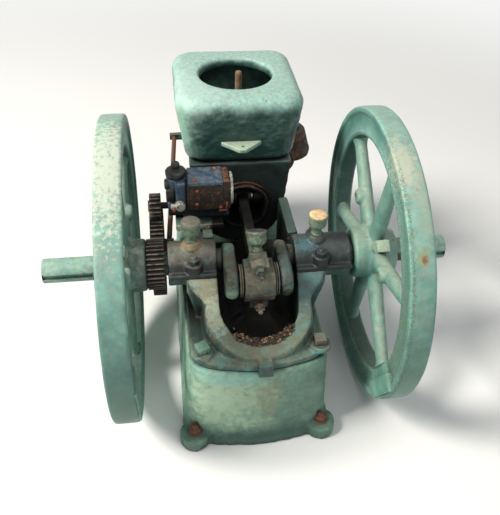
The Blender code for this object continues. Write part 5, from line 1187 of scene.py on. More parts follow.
@dataclass
class Flywheel(Assembly):
    """One spoked flywheel with its hub screw and key.

    Attributes:
        side: 1 for the right-hand wheel and -1 for the left-hand one.
        phase: Angle of its first spoke from +Y towards +Z, in degrees.
        centre: Distance of its middle plane from the crank's centre.
        radius: Outer radius.
        depth: Radial depth of the rim.
        width: Width of the rim.
        hub: Radius of the hub.
        spokes: Number of spokes.
        screw_plane: Distance of the set screw outboard of the middle plane.
        screw_angle: Angle of the set screw from the first spoke, in degrees.
        pad_angle: Angle of the rim's pad from the first spoke, in degrees.
        boss: Distance of the spokes' bosses from the shaft.
    """

    side: int
    phase: float
    centre: float = 0.216
    radius: float = 0.254
    depth: float = 0.052
    width: float = 0.0394
    hub: float = 0.045
    spokes: int = 6
    screw_plane: float = 0.002
    screw_angle: float = 90.0
    pad_angle: float = 169.0
    boss: float = 0.098

    @property
    def name(self) -> str:
        """Left or right."""
        return "right" if self.side > 0 else "left"

    def out(self, angle: float) -> Vector:
        """Unit vector away from the shaft at an angle in degrees."""
        turn = math.radians(angle)
        return Vector((0, math.cos(turn), math.sin(turn)))

    def place(self, outboard: float, radius: float, angle: float, across: float = 0.0) -> Vector:
        """A point of the wheel.

        Args:
            outboard: Distance outboard of its middle plane.
            radius: Distance from the shaft.
            angle: Angle in degrees.
            across: Distance square to that direction.

        Returns:
            The point about the crank's centre.
        """
        out = self.out(angle)
        return Vector((self.side * (self.centre + outboard), 0, 0)) + out * radius + X.cross(out) * across

    def rim(self) -> Shape:
        """Rim with rounded lips, recessed faces and a bead round its inner edge."""
        half = self.width / 2
        r = self.radius
        inner = r - self.depth
        face = [
            (r - 0.0002, half * 0.76), (r - 0.0008, half - 0.0018), (r - 0.0024, half - 0.0002), (r - 0.0040, half),
            (r - 0.0098, half - 0.0001), (r - 0.0112, half - 0.0010), (r - 0.0126, half - 0.0032),
            (r - 0.0150, half - 0.0044), (r - 0.0280, half - 0.0050), (inner + 0.0118, half - 0.0044),
            (inner + 0.0100, half - 0.0034), (inner + 0.0078, half - 0.0024), (inner + 0.0052, half - 0.0026),
            (inner + 0.0028, half - 0.0044), (inner + 0.0010, half - 0.0072), (inner + 0.0001, half - 0.0120),
        ]
        profile = [(r, 0.0)] + face + [(inner - 0.0004, 0.0)]
        profile += [(radius, -x) for radius, x in reversed(face)]
        centre = (self.side * self.centre, 0, 0)
        return Shape().revolve(profile, X, centre, 192, closed=True)

    def pads(self) -> Shape:
        """Stepped pad on the rim's inboard face."""
        shape = Shape()
        angle = self.phase + self.pad_angle
        for inner, outer, half, proud in ((0.199, 0.2450, 0.046, 0.0045), (0.219, 0.2472, 0.055, 0.0085)):
            rings = []
            for level, shrink in ((0.006, 0.0), (-proud + 0.0014, 0.0), (-proud + 0.0004, 0.0006), (-proud, 0.0016)):
                x = level - self.width / 2 + 0.0045
                corners = [
                    (inner + shrink, -half + shrink), (inner + shrink, 0.0), (inner + shrink, half - shrink),
                    (outer - shrink, half - shrink), (outer - shrink, 0.0), (outer - shrink, -half + shrink),
                ]
                rings.append([self.place(x, radius, angle, across) for radius, across in corners])
            shape.loft(rings)
        return shape

    def spoke(self, angle: float) -> Shape:
        """Oval spoke that flares into the hub and the rim."""
        start, end = 0.030, 0.206
        root_half, tip_half = 0.0176, 0.0132
        root_thick, tip_thick = 0.0138, 0.0104
        rings = []
        for i in range(25):
            radius = start + (end - start) * i / 24
            share = (radius - 0.035) / 0.17
            half = root_half + (tip_half - root_half) * share
            half += 0.010 * max(0.0, (radius - 0.184) / 0.022) ** 2 + 0.010 * max(0.0, (0.070 - radius) / 0.030) ** 2
            thick = root_thick + (tip_thick - root_thick) * share + 0.004 * max(0.0, (radius - 0.188) / 0.018) ** 2
            oval = [(thick * c, half * s) for c, s in circle(1, 28)]
            rings.append([self.place(u, radius, angle, v) for u, v in oval])
        return Shape().loft(rings)

    def spider(self) -> bpy.types.Mesh:
        """Hub, spokes, their bosses and the rim's root in one casting."""
        shape = Shape()
        angles = [self.phase + 360 / self.spokes * i for i in range(self.spokes)]
        for angle in angles:
            shape.merge(self.spoke(angle))
        out = X * self.side
        r = self.hub
        profile = [
            (0, 0.036), (0.0372, 0.036), (0.0388, 0.0335), (0.0405, 0.0270), (r - 0.0004, 0.0190),
            (r + 0.0020, 0.0100), (r + 0.0020, -0.0120), (r - 0.0002, -0.0200), (r - 0.0006, -0.0360),
            (r - 0.0030, -0.0394), (r - 0.0060, -0.0400), (0, -0.0400),
        ]
        shape.revolve(profile, out, out * self.centre, 64)
        root = self.radius - self.depth
        ring = [(root + 0.010, 0.0132), (root + 0.010, -0.0132), (root + 0.0034, -0.0100), (root + 0.0034, 0.0100)]
        shape.revolve(ring, out, out * self.centre, 144, closed=True)
        cuts = []
        for angle in (angles[0], angles[2]):
            seat = self.place(0.0, self.boss, angle)
            boss = [(0, 0), (0.0155, 0), (0.0142, 0.0140), (0.0120, 0.0184), (0.0108, 0.0190), (0, 0.0190)]
            shape.revolve(boss, -out, seat, 28)
            cuts.append(Shape().revolve([(0, 0.010), (0.0060, 0.010), (0.0066, 0.030), (0, 0.030)], -out, seat, 24))
        screw = self.phase + self.screw_angle
        boss = [(0, 0.020), (0.0165, 0.020), (0.0158, 0.048), (0.0148, 0.0545), (0, 0.0550)]
        shape.revolve(boss, self.out(screw), self.place(self.screw_plane, 0.0, screw), 32)
        return cast(f"wheel_spider_{self.name}", shape, 2.0, 5, 0.42, cuts)

    def screw(self) -> Shape:
        """Square-headed set screw on the hub."""
        angle = self.phase + self.screw_angle
        out = self.out(angle)
        seat = self.place(self.screw_plane, 0.0553, angle)
        return nut(0.0205, 0.0140, seat, out, sides=4, stud=0.0)

    def key(self) -> Shape:
        """Plain key in the hub, on the side that faces away from the head."""
        low = Vector((self.side * (self.centre + 0.030), -0.0265, -0.005))
        high = Vector((self.side * (self.centre + 0.048), -0.0145, 0.005))
        ends = sorted((low.x, high.x))
        return Shape().block((ends[0], low.y, low.z), (ends[1], high.y, high.z), 0.0008)

    def build(self) -> None:
        """Builds the wheel, its screw, its key and the rust in the boss holes."""
        side = self.name
        rim = self.rim().merge(self.pads())
        mesh = roughened(rim.mesh(f"wheel_rim_{side}", 34), 0.25, 26.0, self.side * 3.0)
        self.fit(f"wheel_rim_{side}", mesh, RIM_PAINT, Slot.PAINTED, f"flywheel_{side}", body=Body.WHEELS)
        spider = roughened(self.spider(), 0.35, 14.0, self.side * 5.0)
        self.fit(f"wheel_spider_{side}", spider, WHEEL_PAINT, Slot.PAINTED, body=Body.WHEELS)
        screw = self.screw().mesh(f"hub_screw_{side}")
        self.fit(f"hub_screw_head_{side}", screw, SUNLIT_PAINT, Slot.RUSTY_IRON, f"hub_screw_{side}", body=Body.WHEELS)
        key = self.key().mesh(f"hub_key_end_{side}")
        self.fit(f"hub_key_end_{side}", key, GREASY, Slot.WORN_IRON, f"hub_key_{side}", body=Body.WHEELS)
        plugs = Shape()
        for angle in (self.phase, self.phase + 120.0):
            seat = self.place(0.0, self.boss, angle)
            profile = [(0, 0.0095), (0.0066, 0.0095), (0.0066, 0.0174), (0.0046, 0.0168), (0.0030, 0.0150)]
            profile += [(0.0026, 0.0116), (0, 0.0112)]
            plugs.revolve(profile, X * -self.side, seat, 18)
        self.fit(f"boss_rust_{side}", plugs.mesh("boss_rust"), BOSS_RUST, Slot.PAINTED, body=Body.WHEELS)


@dataclass
class Crankshaft(Assembly):
    """The two turning ends of the crankshaft and the crank gear."""

    radius: float = 0.0205
    end: float = 0.346
    hub_face: float = 0.176
    keyway: float = 0.0053
    keyway_floor: float = 0.0142

    def notched(self) -> list[Point]:
        """Outline of the shaft with its keyway towards -Y."""
        limit = math.asin(self.keyway / self.radius)
        points = []
        for i in range(61):
            angle = math.pi + limit + (2 * math.pi - 2 * limit) * i / 60
            points.append((self.radius * math.cos(angle), self.radius * math.sin(angle)))
        return points + [(-self.keyway_floor, self.keyway), (-self.keyway_floor, -self.keyway)]

    def build(self) -> None:
        """Builds both shaft ends and the gear."""
        for side, inner in ((-1, 0.097), (1, 0.109)):
            name = "right" if side > 0 else "left"
            shape = Shape()
            low = min(side * inner, side * self.hub_face)
            high = max(side * inner, side * (self.hub_face + 0.006))
            shape.revolve(bar(self.radius, low, high), X, (0, 0, 0), 64)
            start = self.hub_face + 0.004
            low = start if side > 0 else -self.end
            shape.prism(self.notched(), X, (low, 0, 0), self.end - start, 0.0016, 3)
            mesh = shape.mesh(f"shaft_{name}", 30)
            self.fit(f"shaft_{name}", mesh, SHAFT_PAINT, Slot.PAINTED, f"crankshaft_{name}", body=Body.WHEELS)
        gear = gear_shape(CRANK_TEETH, GEAR_LINE, (-0.1757, 0, 0), 0.029)
        mesh = carved("crank_gear_teeth", gear, [Shape().revolve(bar(0.0212, -0.2, -0.1), X, (0, 0, 0), 48)])
        self.fit("crank_gear_teeth", mesh, GEAR_IRON, Slot.WORN_IRON, "crank_gear", body=Body.WHEELS)


MODULE = 0.00254
CRANK_TEETH, CAM_TEETH, PINION_TEETH = 32, 64, 16
# Direction from the crankshaft to the cam gear's stud, from +Y towards +Z.
GEAR_LINE = math.radians(-27.8)


def gear_shape(teeth: int, phase: float, start: Place, width: float) -> Shape:
    """A spur gear about a shaft along X, its teeth rounded at root, tip and ends.

    Args:
        teeth: Number of teeth.
        phase: Angle of the first tooth from +Y towards +Z, in radians.
        start: Centre of its left face.
        width: Width along X.

    Returns:
        The shape.
    """
    pitch = MODULE * teeth / 2
    tip = pitch + 0.95 * MODULE
    root = pitch - 1.20 * MODULE
    step = 2 * math.pi / teeth
    corners = (
        (root, -0.40), (root + 0.0004, -0.345), (pitch - 0.0008, -0.265), (pitch + 0.0008, -0.20),
        (tip - 0.0004, -0.115), (tip, -0.075), (tip, 0.075), (tip - 0.0004, 0.115), (pitch + 0.0008, 0.20),
        (pitch - 0.0008, 0.265), (root + 0.0004, 0.345), (root, 0.40),
    )
    outline = []
    for i in range(teeth):
        for radius, share in corners:
            angle = phase + (i + share) * step
            outline.append((radius * math.cos(angle), radius * math.sin(angle)))
    return Shape().prism(outline, X, start, width, 0.0007, 2)


@dataclass
class TimingGears(Assembly):
    """Cam gear on its stud and the magneto's pinion."""

    cam_y: float = 0.107848
    cam_z: float = -0.056862
    magneto_z: float = 0.044738
    outer: float = 0.1707
    inner: float = 0.1467

    def build(self) -> None:
        """Builds both gears, the cam and the stud."""
        step = 2 * math.pi / CAM_TEETH
        phase = GEAR_LINE + math.pi + 0.5 * step
        centre = (0, self.cam_y, self.cam_z)
        gear = gear_shape(CAM_TEETH, phase, (-self.outer, self.cam_y, self.cam_z), self.outer - self.inner)
        cuts = []
        for face, out in ((-self.outer, -1), (-self.inner, 1)):
            deep = face - out * 0.007
            past = face + out * 0.004
            section = [(0.0655, past), (0.0655, deep + out * 0.001), (0.0645, deep), (0.026, deep), (0.024, past)]
            cuts.append(Shape().revolve(section, X, centre, 96, closed=True))
        cuts.append(Shape().revolve(bar(0.0126, -0.2, -0.1), X, centre, 40))
        mesh = carved("cam_gear_teeth", gear, cuts)
        self.fit("cam_gear_teeth", mesh, GEAR_IRON, Slot.WORN_IRON, "cam_gear", body=Body.CAM)
        cam = []
        steps, small, lift, nose = 72, 0.021, 0.009, math.radians(200)
        for i in range(steps):
            angle = 2 * math.pi * i / steps
            radius = small + lift * max(0.0, math.cos(angle - nose)) ** 6
            cam.append((radius * math.cos(angle), radius * math.sin(angle)))
        start = (-self.inner - 0.001, self.cam_y, self.cam_z)
        mesh = carved("cam_lobe", Shape().prism(cam, X, start, 0.0188, 0.0008), [cuts[-1]])
        self.fit("cam_lobe", mesh, GREASY, Slot.WORN_IRON, body=Body.CAM)
        profile = [(0, 0), (0.012, 0), (0.012, 0.0785), (0.0112, 0.0795), (0, 0.0800)]
        stud = Shape().revolve(profile, -X, (-0.0925, self.cam_y, self.cam_z), 40)
        self.fit("cam_stud_bar", stud.mesh("cam_stud_bar"), GREASY, Slot.WORN_IRON, "cam_gear_stud")
        driven = 2 * math.pi / PINION_TEETH
        offset = (math.pi / 2 - phase) / step
        pinion_phase = math.pi / 2 + math.pi + (offset + 0.5) * driven
        middle = -(self.outer + self.inner) / 2
        pinion = gear_shape(PINION_TEETH, pinion_phase, (middle - 0.010, self.cam_y, self.magneto_z), 0.020)
        pinion.revolve(bar(0.006, middle, -0.112), X, (0, self.cam_y, self.magneto_z), 24)
        collar = [(0, 0.0), (0.0105, 0.0), (0.0098, 0.0028), (0, 0.0030)]
        pinion.revolve(collar, -X, (middle - 0.0098, self.cam_y, self.magneto_z), 28)
        mesh = pinion.mesh("magneto_pinion_teeth")
        self.fit("magneto_pinion_teeth", mesh, GEAR_IRON, Slot.WORN_IRON, "magneto_pinion", body=Body.ROTOR)


@dataclass
class Hopper(Assembly):
    """Water hopper: a round-cornered box with a round mouth and a diamond-shaped lug."""

    centre: float = 0.271
    top: float = 0.223
    bottom: float = 0.0962
    half: Point = (0.119, 0.121)
    low_half: Point = (0.099, 0.109)
    mouth: float = 0.0677
    count: int = 288

    def ring(self, width: float, depth: float, corner: float, z: float, roundness: float = 0.0) -> list[Vector]:
        """One level of the hopper.

        Args:
            width: Half width.
            depth: Half depth.
            corner: Radius of its corners.
            z: Height.
            roundness: 0 for the box outline and 1 for a circle of radius `width`.

        Returns:
            The ring's points.
        """
        points = []
        for i in range(self.count):
            angle = 2 * math.pi * (i + 0.5) / self.count
            c, s = math.cos(angle), math.sin(angle)
            reach = min(width / max(abs(c), 1e-6), depth / max(abs(s), 1e-6))
            cx, cy = width - corner, depth - corner
            if reach * abs(c) > cx and reach * abs(s) > cy:
                ax, ay = abs(c), abs(s)
                along = ax * cx + ay * cy
                reach = along + math.sqrt(max(0.0, along**2 - cx**2 - cy**2 + corner**2))
            reach = reach + (width - reach) * roundness
            points.append(Vector((reach * c, self.centre + reach * s, z)))
        return points

    def shell(self) -> Shape:
        """Outside, top, mouth and inside of the tank as one closed surface."""
        rings = []
        height = self.top - self.bottom
        edge = 0.027
        for inward, z in ((0.030, 0.0), (0.010, 0.0), (0.0045, 0.0016), (0.0012, 0.0052), (0.0, 0.0100)):
            rings.append(self.level(z / height, inward, self.bottom + z))
        for i in range(1, 40):
            share = 0.0100 / height + (1 - (edge + 0.0100) / height) * i / 40
            rings.append(self.level(share, 0.0, self.bottom + share * height))
        for i in range(9):
            turn = math.pi / 2 * i / 8
            inward = edge * (1 - math.cos(turn))
            z = self.top - edge + edge * math.sin(turn)
            rings.append(self.level((z - self.bottom) / height, inward, z))
        for share in (0.35, 0.75):
            inward = edge + (self.half[0] - edge - self.mouth - 0.012) * share
            rings.append(self.level(1.0, inward, self.top + 0.0004 * share, share * share))
        dish = (
            (0.0066, 0.0000), (0.0044, -0.0005), (0.0026, -0.0017), (0.0012, -0.0034), (0.0003, -0.0056),
            (0.0, -0.0084), (0.0, -0.0165), (0.0012, -0.0180), (0.0060, -0.0184),
        )
        for wider, drop in dish:
            radius = self.mouth + wider
            rings.append(self.ring(radius, radius, radius, self.top + drop, 1.0))
        wall = 0.009
        inside = ((0.84, 0.012), (0.80, 0.002), (0.5, 0.0), (0.12, 0.0), (0.08, 0.004))
        for share, further in inside:
            rings.append(self.level(share, wall + further, self.bottom + share * height))
        rings.append(self.level(0.075, 0.060, self.bottom + 0.075 * height))
        return Shape().loft(rings)

    def level(self, share: float, inward: float, z: float, roundness: float = 0.0) -> list[Vector]:
        """A ring at a share of the height, moved inwards."""
        width = self.low_half[0] + (self.half[0] - self.low_half[0]) * share - inward
        depth = self.low_half[1] + (self.half[1] - self.low_half[1]) * share - inward
        corner = max(0.006, 0.036 + 0.006 * share - inward * 0.8)
        return self.ring(width, depth, corner, z, roundness)

    def lug(self) -> bpy.types.Mesh:
        """Diamond-shaped lug on the front, with a small hole."""
        y = self.centre - 0.1155
        tip = 0.128
        left = [(-0.0330, y + 0.008), (-0.0365, y + 0.0016), (-0.006, tip)]
        outline = left + [(-u, v) for u, v in reversed(left)]
        shape = Shape().prism(outline, Z, (0, 0, 0.1330), 0.0080, 0.0012, 3)
        hole = Shape().revolve(bar(0.0028, 0.12, 0.15), Z, (0.001, 0.140, 0), 20)
        return cast("hopper_lug", shape, 0.9, 4, 0.5, [hole])

    def build(self) -> None:
        """Builds the tank, the lug and the stud in the mouth."""
        tank = roughened(self.shell().mesh("hopper_tank", 60), 0.8, 26.0, 2.0, 0.4)
        tank = roughened(tank, 0.55, 6.5, 9.0, 0.05)
        self.fit("hopper_tank", tank, HOPPER_PAINT, Slot.PAINTED, "hopper")
        self.fit("hopper_lug", self.lug(), SUNLIT_PAINT, Slot.PAINTED)
        z, end, pitch = 0.106, 0.2215, 0.0016
        profile = [(0, z)]
        while z < end:
            profile += [(0.0064, z), (0.0056, z + 0.0008)]
            z += pitch
        profile += [(0.0052, 0.2245), (0.0040, 0.2252), (0, 0.2254)]
        stud = Shape().revolve(profile, Z, (0.006, self.centre, 0), 20)
        self.fit("hopper_stud_thread", stud.mesh("hopper_stud_thread"), STUD_RUST, Slot.RUSTY_IRON, "hopper_stud")


@dataclass
class Castings(Assembly):
    """Sub-base, crankcase frame, cylinder block and head."""

    bolt_left: Place = (-0.0930, -0.1300, -0.0865)
    bolt_right: Place = (0.1020, -0.1310, -0.0865)

    def crankcase(self) -> bpy.types.Mesh:
        """Crankcase frame with thick bolt corners on its foot."""
        shape = node_shape("crankcase_frame")
        for x, y, z in (self.bolt_left, self.bolt_right):
            profile = [(0, -0.004), (0.0200, -0.004), (0.0190, 0.0035), (0.0165, 0.0055), (0, 0.0058)]
            shape.revolve(profile, Z, (x, y, z), 40)
        for inner, side in ((-0.0605, -1), (0.0725, 1)):
            shape.merge(self.shelf(inner, side))
        return cast("crankcase_casting", shape, 2.1, 5, 0.42)

    def shelf(self, inner: float, side: int) -> Shape:
        """Top of a bearing arm, swept down from under the cap into the rim of the pit.

        Args:
            inner: Place of the pit's wall along X.
            side: 1 for the right-hand arm and -1 for the left-hand one.

        Returns:
            The shape.
        """
        sweep = (
            (-0.0400, -0.0012, 0.0480), (-0.0490, -0.0022, 0.0480), (-0.0540, -0.0060, 0.0460),
            (-0.0590, -0.0125, 0.0400), (-0.0640, -0.0200, 0.0310), (-0.0700, -0.0275, 0.0240),
            (-0.0780, -0.0345, 0.0215), (-0.0860, -0.0395, 0.0205),
        )
        rings = []
        for y, top, width in sweep:
            middle = min(width, 0.0200)
            foot = -0.050
            corners = ((0, top), (width, top), (width, top - 0.010), (middle, top - 0.013), (middle, foot), (0, foot))
            rings.append([Vector((inner + side * x, y, z)) for x, z in corners])
        return Shape().loft(rings)

    def sludge(self) -> Shape:
        """Uneven cake of old oil on the floor of the pit."""
        middle, left, right, half = 0.006, -0.0597, 0.0717, 0.0657
        front, back, tail, floor = -0.0780, 0.1573, 0.0597, -0.0915
        centre = Vector((middle, 0.010, 0.0))
        outline = [Vector((left, back, 0)), Vector((left, front, 0))]
        for i in range(1, 36):
            turn = math.pi * (1 + i / 36)
            outline.append(Vector((middle + half * math.cos(turn), front + tail * math.sin(turn), 0)))
        outline += [Vector((right, front, 0)), Vector((right, back, 0))]
        outline += [Vector((right - 2 * half * i / 12, back, 0)) for i in range(1, 12)]
        rings = [[point + Z * floor for point in outline]]
        for step in range(16):
            ring = []
            for point in outline:
                place = centre + (point - centre) * (1 - step / 15.5)
                swell = noise.noise(place / 0.030) + 0.5 * noise.noise(place / 0.011)
                ring.append(place + Z * (-0.0865 - 0.0020 * min(1.0, step / 4) + 0.0016 * swell))
            rings.append(ring)
        return Shape().loft(rings)

    def build(self) -> None:
        """Builds the castings."""
        mesh = roughened(self.crankcase(), 0.7, 18.0, 1.0)
        self.fit("crankcase_casting", mesh, FRAME_PAINT, Slot.PAINTED, "crankcase_frame")
        lug = Shape().block((-0.0065, -0.1815, -0.0992), (0.0175, -0.150, -0.0745), 0.0022, Y)
        mesh = roughened(lug.mesh("tail_lug"), 0.2, 6.0, 2.0)
        self.fit("crankcase_tail_lug", mesh, FRAME_PAINT, Slot.PAINTED)
        mesh = self.sludge().mesh("sump_sludge", 60)
        self.fit("sump_sludge", mesh, SLUDGE, Slot.PAINTED)
        mesh = roughened(cast("base_casting", node_shape("sub_base"), 3.2, 4, 0.5), 1.3, 34.0, 4.0)
        for vertex in mesh.vertices:
            vertex.co.z = max(vertex.co.z, -CRANK.z)
        self.fit("base_casting", mesh, BASE_PAINT, Slot.PAINTED, "sub_base")
        mesh = roughened(cast("block_casting", node_shape("cylinder_block"), 2.4, 4, 0.4), 0.7, 20.0, 6.0)
        self.fit("block_casting", mesh, BLOCK_PAINT, Slot.PAINTED, "cylinder_block")
        mesh = roughened(cast("head_casting", node_shape("cylinder_head"), 2.0, 4, 0.35), 0.5, 20.0, 8.0)
        self.fit("head_casting", mesh, PAINT, Slot.PAINTED, "cylinder_head")
        for node in ("rocker_bracket", "magneto_bracket"):
            mesh = cast(node + "_casting", node_shape(node), 1.2, 4, 0.4)
            self.fit(node + "_casting", mesh, FRAME_PAINT, Slot.PAINTED, node)
        ring = [(0.0508, -0.0006), (0.0532, -0.0006), (0.0536, 0.0), (0.0536, 0.004), (0.0508, 0.004)]
        bore = Shape().revolve(ring, Y, (0.006, 0.158, 0), 96, closed=True)
        self.fit("bore_edge", bore.mesh("bore_edge"), BORE_RUST_AND_SHADE, Slot.PAINTED)


@dataclass
class MainBearings(Assembly):
    """Bearing caps with their nuts and grease cups."""

    caps: tuple[tuple[str, float, float], ...] = (("left", -0.101, -0.0985), ("right", 0.113, 0.1165))
    barrel: float = 0.0374
    reach: float = 0.0460
    ear: float = 0.0080
    stud_y: float = 0.0315

    def cap(self, side: str, cup_x: float, nut_x: float) -> bpy.types.Mesh:
        """Half-round cap with low ears, two stud bosses and the seat of its cup.

        Args:
            side: Left or right.
            cup_x: Place of the grease cup along the shaft.
            nut_x: Place of the nuts along the shaft.

        Returns:
            The mesh.
        """
        ends = [point.x for point in node_shape(f"main_bearing_cap_{side}").points]
        low, high = min(ends), max(ends)
        r, edge, length = self.barrel, 0.0030, high - low
        round_part = [(0, 0), (r - edge, 0), (r - edge * 0.3, edge * 0.3), (r, edge), (r, length - edge)]
        round_part += [(r - edge * 0.3, length - edge * 0.3), (r - edge, length), (0, length)]
        shape = Shape().revolve(round_part, X, (low, 0, 0), 72)
        shape.block((low, -self.reach, -0.006), (high, self.reach, self.ear), 0.0025, X)
        pad = [(0, 0.002), (0.0152, 0.002), (0.0148, 0.0222), (0.0130, 0.0246), (0, 0.0250)]
        for y in (-self.stud_y, self.stud_y):
            shape.revolve(pad, Z, (nut_x, y, 0.0), 36)
        collar = [(0, 0.028), (0.0180, 0.028), (0.0164, 0.0390), (0.0136, 0.0436), (0.0112, 0.0462), (0, 0.0464)]
        shape.revolve(collar, Z, (cup_x, 0.0, 0.0), 40)
        under = Shape().block((low - 0.01, -0.08, -0.08), (high + 0.01, 0.08, 0.0003), 0.0)
        bore = Shape().revolve(bar(0.0212, -0.4, 0.4), X, (0, 0, 0), 64)
        return cast(f"cap_{side}", shape, 1.3, 7, 0.4, [under, bore])

    def build(self) -> None:
        """Builds both bearings."""
        for side, cup_x, nut_x in self.caps:
            nuts = Shape()
            for y in (-self.stud_y, self.stud_y):
                nuts.merge(nut(0.0170, 0.0078, (nut_x, y, 0.0250), Z, 6, 0.0035))
            mesh = roughened(self.cap(side, cup_x, nut_x), 0.4, 10.0, cup_x * 50)
            self.fit(f"cap_{side}", mesh, RUBBED, Slot.WORN_IRON, f"main_bearing_cap_{side}")
            self.fit(f"cap_nuts_{side}", nuts.mesh("cap_nuts", 34), RUBBED, Slot.WORN_IRON)
            lid = LID if side == "right" else DULL_LID
            self.cup(f"grease_cup_{side}", (cup_x, 0, 0.0413), 0.0, 0.021, CUP_PAINT, lid)


@dataclass
class Throw(Assembly):
    """Crank throw, connecting rod, its cap, bolts and cup, and the piston."""

    offset: float = 0.006
    throw: float = 0.05715
    bolt_z: float = 0.036
    web: float = 0.029
    journal: float = 0.0205

    def webs(self) -> Shape:
        """Egg-shaped webs with rounded rims, the crank pin and the journals."""
        arc = [math.pi / 2 + math.pi * i / 20 for i in range(21)]
        outline = [(-self.throw + self.web * math.cos(t), self.web * math.sin(t)) for t in arc]
        outline += [(-self.web * math.cos(t), -self.web * math.sin(t)) for t in arc]
        shape = Shape()
        for x in (-0.0500, 0.0400):
            shape.prism(outline, X, (x, 0, 0), 0.022, 0.0080, 3)
        for start, end, y in ((-0.0966, -0.0440, 0.0), (0.0560, 0.1086, 0.0), (-0.0330, 0.0450, -self.throw)):
            shape.revolve(bar(self.journal, start, end), X, (0, y, 0), 56)
        return shape

    def build(self) -> None:
        """Builds the pieces in the pit."""
        tilt = math.radians(25)
        out = 0.0493
        lean = Vector((0, math.sin(tilt), math.cos(tilt)))
        seat = (self.offset, out * math.sin(tilt) - self.throw, out * math.cos(tilt))
        rod = node_shape("connecting_rod")
        foot = [(0, -0.034), (0.0250, -0.034), (0.0215, -0.020), (0.0150, -0.008), (0.0116, -0.0006), (0, -0.0004)]
        rod.revolve(foot, lean, seat, 36)
        cap = node_shape("rod_cap")
        boss = [(0, 0.004), (0.0136, 0.004), (0.0132, 0.0190), (0.0118, 0.0198), (0, 0.0198)]
        for z in (-self.bolt_z, self.bolt_z):
            cap.revolve(boss, -Y, (self.offset, -self.throw, z), 32)
        nodes = {
            "crank_throw": (self.webs(), 1.4, 4, WEB_IRON),
            "connecting_rod": (rod, 1.2, 9, SHANK_IRON),
            "rod_cap": (cap, 1.1, 12, ROD_IRON),
            "piston": (node_shape("piston"), 1.6, 5, PISTON_IRON),
        }
        for node, (shape, voxel, smooth, finish) in nodes.items():
            mesh = roughened(cast(node + "_forging", shape, voxel, smooth, 0.4), 0.4, 9.0, voxel * 7)
            slot = Slot.RUSTY_IRON if finish is PISTON_IRON else Slot.WORN_IRON
            self.fit(node + "_forging", mesh, finish, slot, node)
        shims = Shape()
        for i, thickness in enumerate((0.0006, 0.0005, 0.0006)):
            y = -self.throw - 0.0009 + i * 0.0007
            for z in (-0.0355, 0.0355):
                low = (self.offset - 0.0158, y, z - 0.0092)
                shims.block(low, (self.offset + 0.0158, y + thickness, z + 0.0092), 0.0002)
        self.fit("rod_shims", shims.mesh("rod_shims"), STEEL, Slot.STEEL)
        flanges = Shape()
        for start, width in ((-0.0266, 0.0026), (-0.0232, 0.0026), (0.0322, 0.0026), (0.0360, 0.0026)):
            ring = [(0.0208, 0.0), (0.0272, 0.0), (0.0280, 0.0008), (0.0280, width - 0.0008)]
            ring += [(0.0272, width), (0.0208, width)]
            flanges.revolve(ring, X, (start, -self.throw, 0.0), 64, closed=True)
        self.fit("rod_shell_flanges", flanges.mesh("rod_shell_flanges", 34), ROD_IRON, Slot.WORN_IRON)
        for name, z, finish in (("upper", self.bolt_z, GREASY), ("lower", -self.bolt_z, BOLT_IRON)):
            bolt = nut(0.0150, 0.0095, (self.offset, -self.throw - 0.0200, z), -Y, 6, 0.0125)
            bolt.merge(nut(0.0150, 0.0080, (self.offset, -self.throw + 0.0200, z), Y, 4, 0.0))
            pin = [(self.offset + x, -self.throw - 0.0345, z + x * 0.07) for x in (-0.0070, 0.0075)]
            bolt.tube(pin, 0.0011, 10)
            self.fit(f"rod_bolt_{name}", bolt.mesh("rod_bolt", 34), finish, Slot.WORN_IRON)
        self.cup("rod_grease_cup", seat, tilt, 0.011, OILY_CUP, OILY_LID)
        self.dirt()

    def dirt(self) -> None:
        """Crumbs of leaf mould and rust along the inner edge of the pit's tail."""
        rng = random.Random(7)
        for name, finish, count, flat in (("pit_dirt", CRUMBS, 170, 0.6), ("pit_flakes", FLAKES, 70, 0.22)):
            shape = Shape()
            for _ in range(count):
                turn = rng.gauss(rng.choice((-0.55, -0.15, 0.25, 0.62)), 0.13)
                inward = rng.uniform(-0.006, 0.0070)
                x = self.offset + (0.066 - inward) * math.sin(turn)
                y = -0.078 - (0.060 - inward) * math.cos(turn)
                slope = -0.022 + (y + 0.046) * 0.4464
                z = slope + 0.0004 - 0.0022 * max(0.0, inward / 0.0070) + rng.uniform(-0.0006, 0.0008)
                size = rng.uniform(0.0007, 0.0027) * (1.2 - abs(turn) * 0.4)
                shape.merge(crumb(rng, size, flat), Matrix.Translation((x, y, z)))
            self.fit(name, shape.mesh(name, 20), finish, Slot.RUSTY_IRON)


def crumb(rng: random.Random, size: float, thick: float) -> Shape:
    """A small irregular lump or flake.

    Args:
        rng: Source of its shape.
        size: About half its length.
        thick: Its thickness as a share of its width.

    Returns:
        The shape about the origin.
    """
    flat = thick * rng.uniform(0.5, 1.2)
    long = rng.uniform(0.8, 2.2)
    turn = Matrix.Rotation(rng.uniform(0, 6.28), 3, "Z") @ Matrix.Rotation(rng.uniform(-0.5, 0.5), 3, "X")
    rings = []
    for z, radius in ((-0.9, 0.35), (-0.45, 0.85), (0.2, 1.0), (0.75, 0.6), (1.0, 0.15)):
        ring = []
        for u, v in circle(radius, 6, rng.uniform(0, 1)):
            jitter = rng.uniform(0.75, 1.25)
            ring.append(turn @ Vector((u * jitter * long, v * jitter, z * flat)) * size)
        rings.append(ring)
    return Shape().loft(rings)


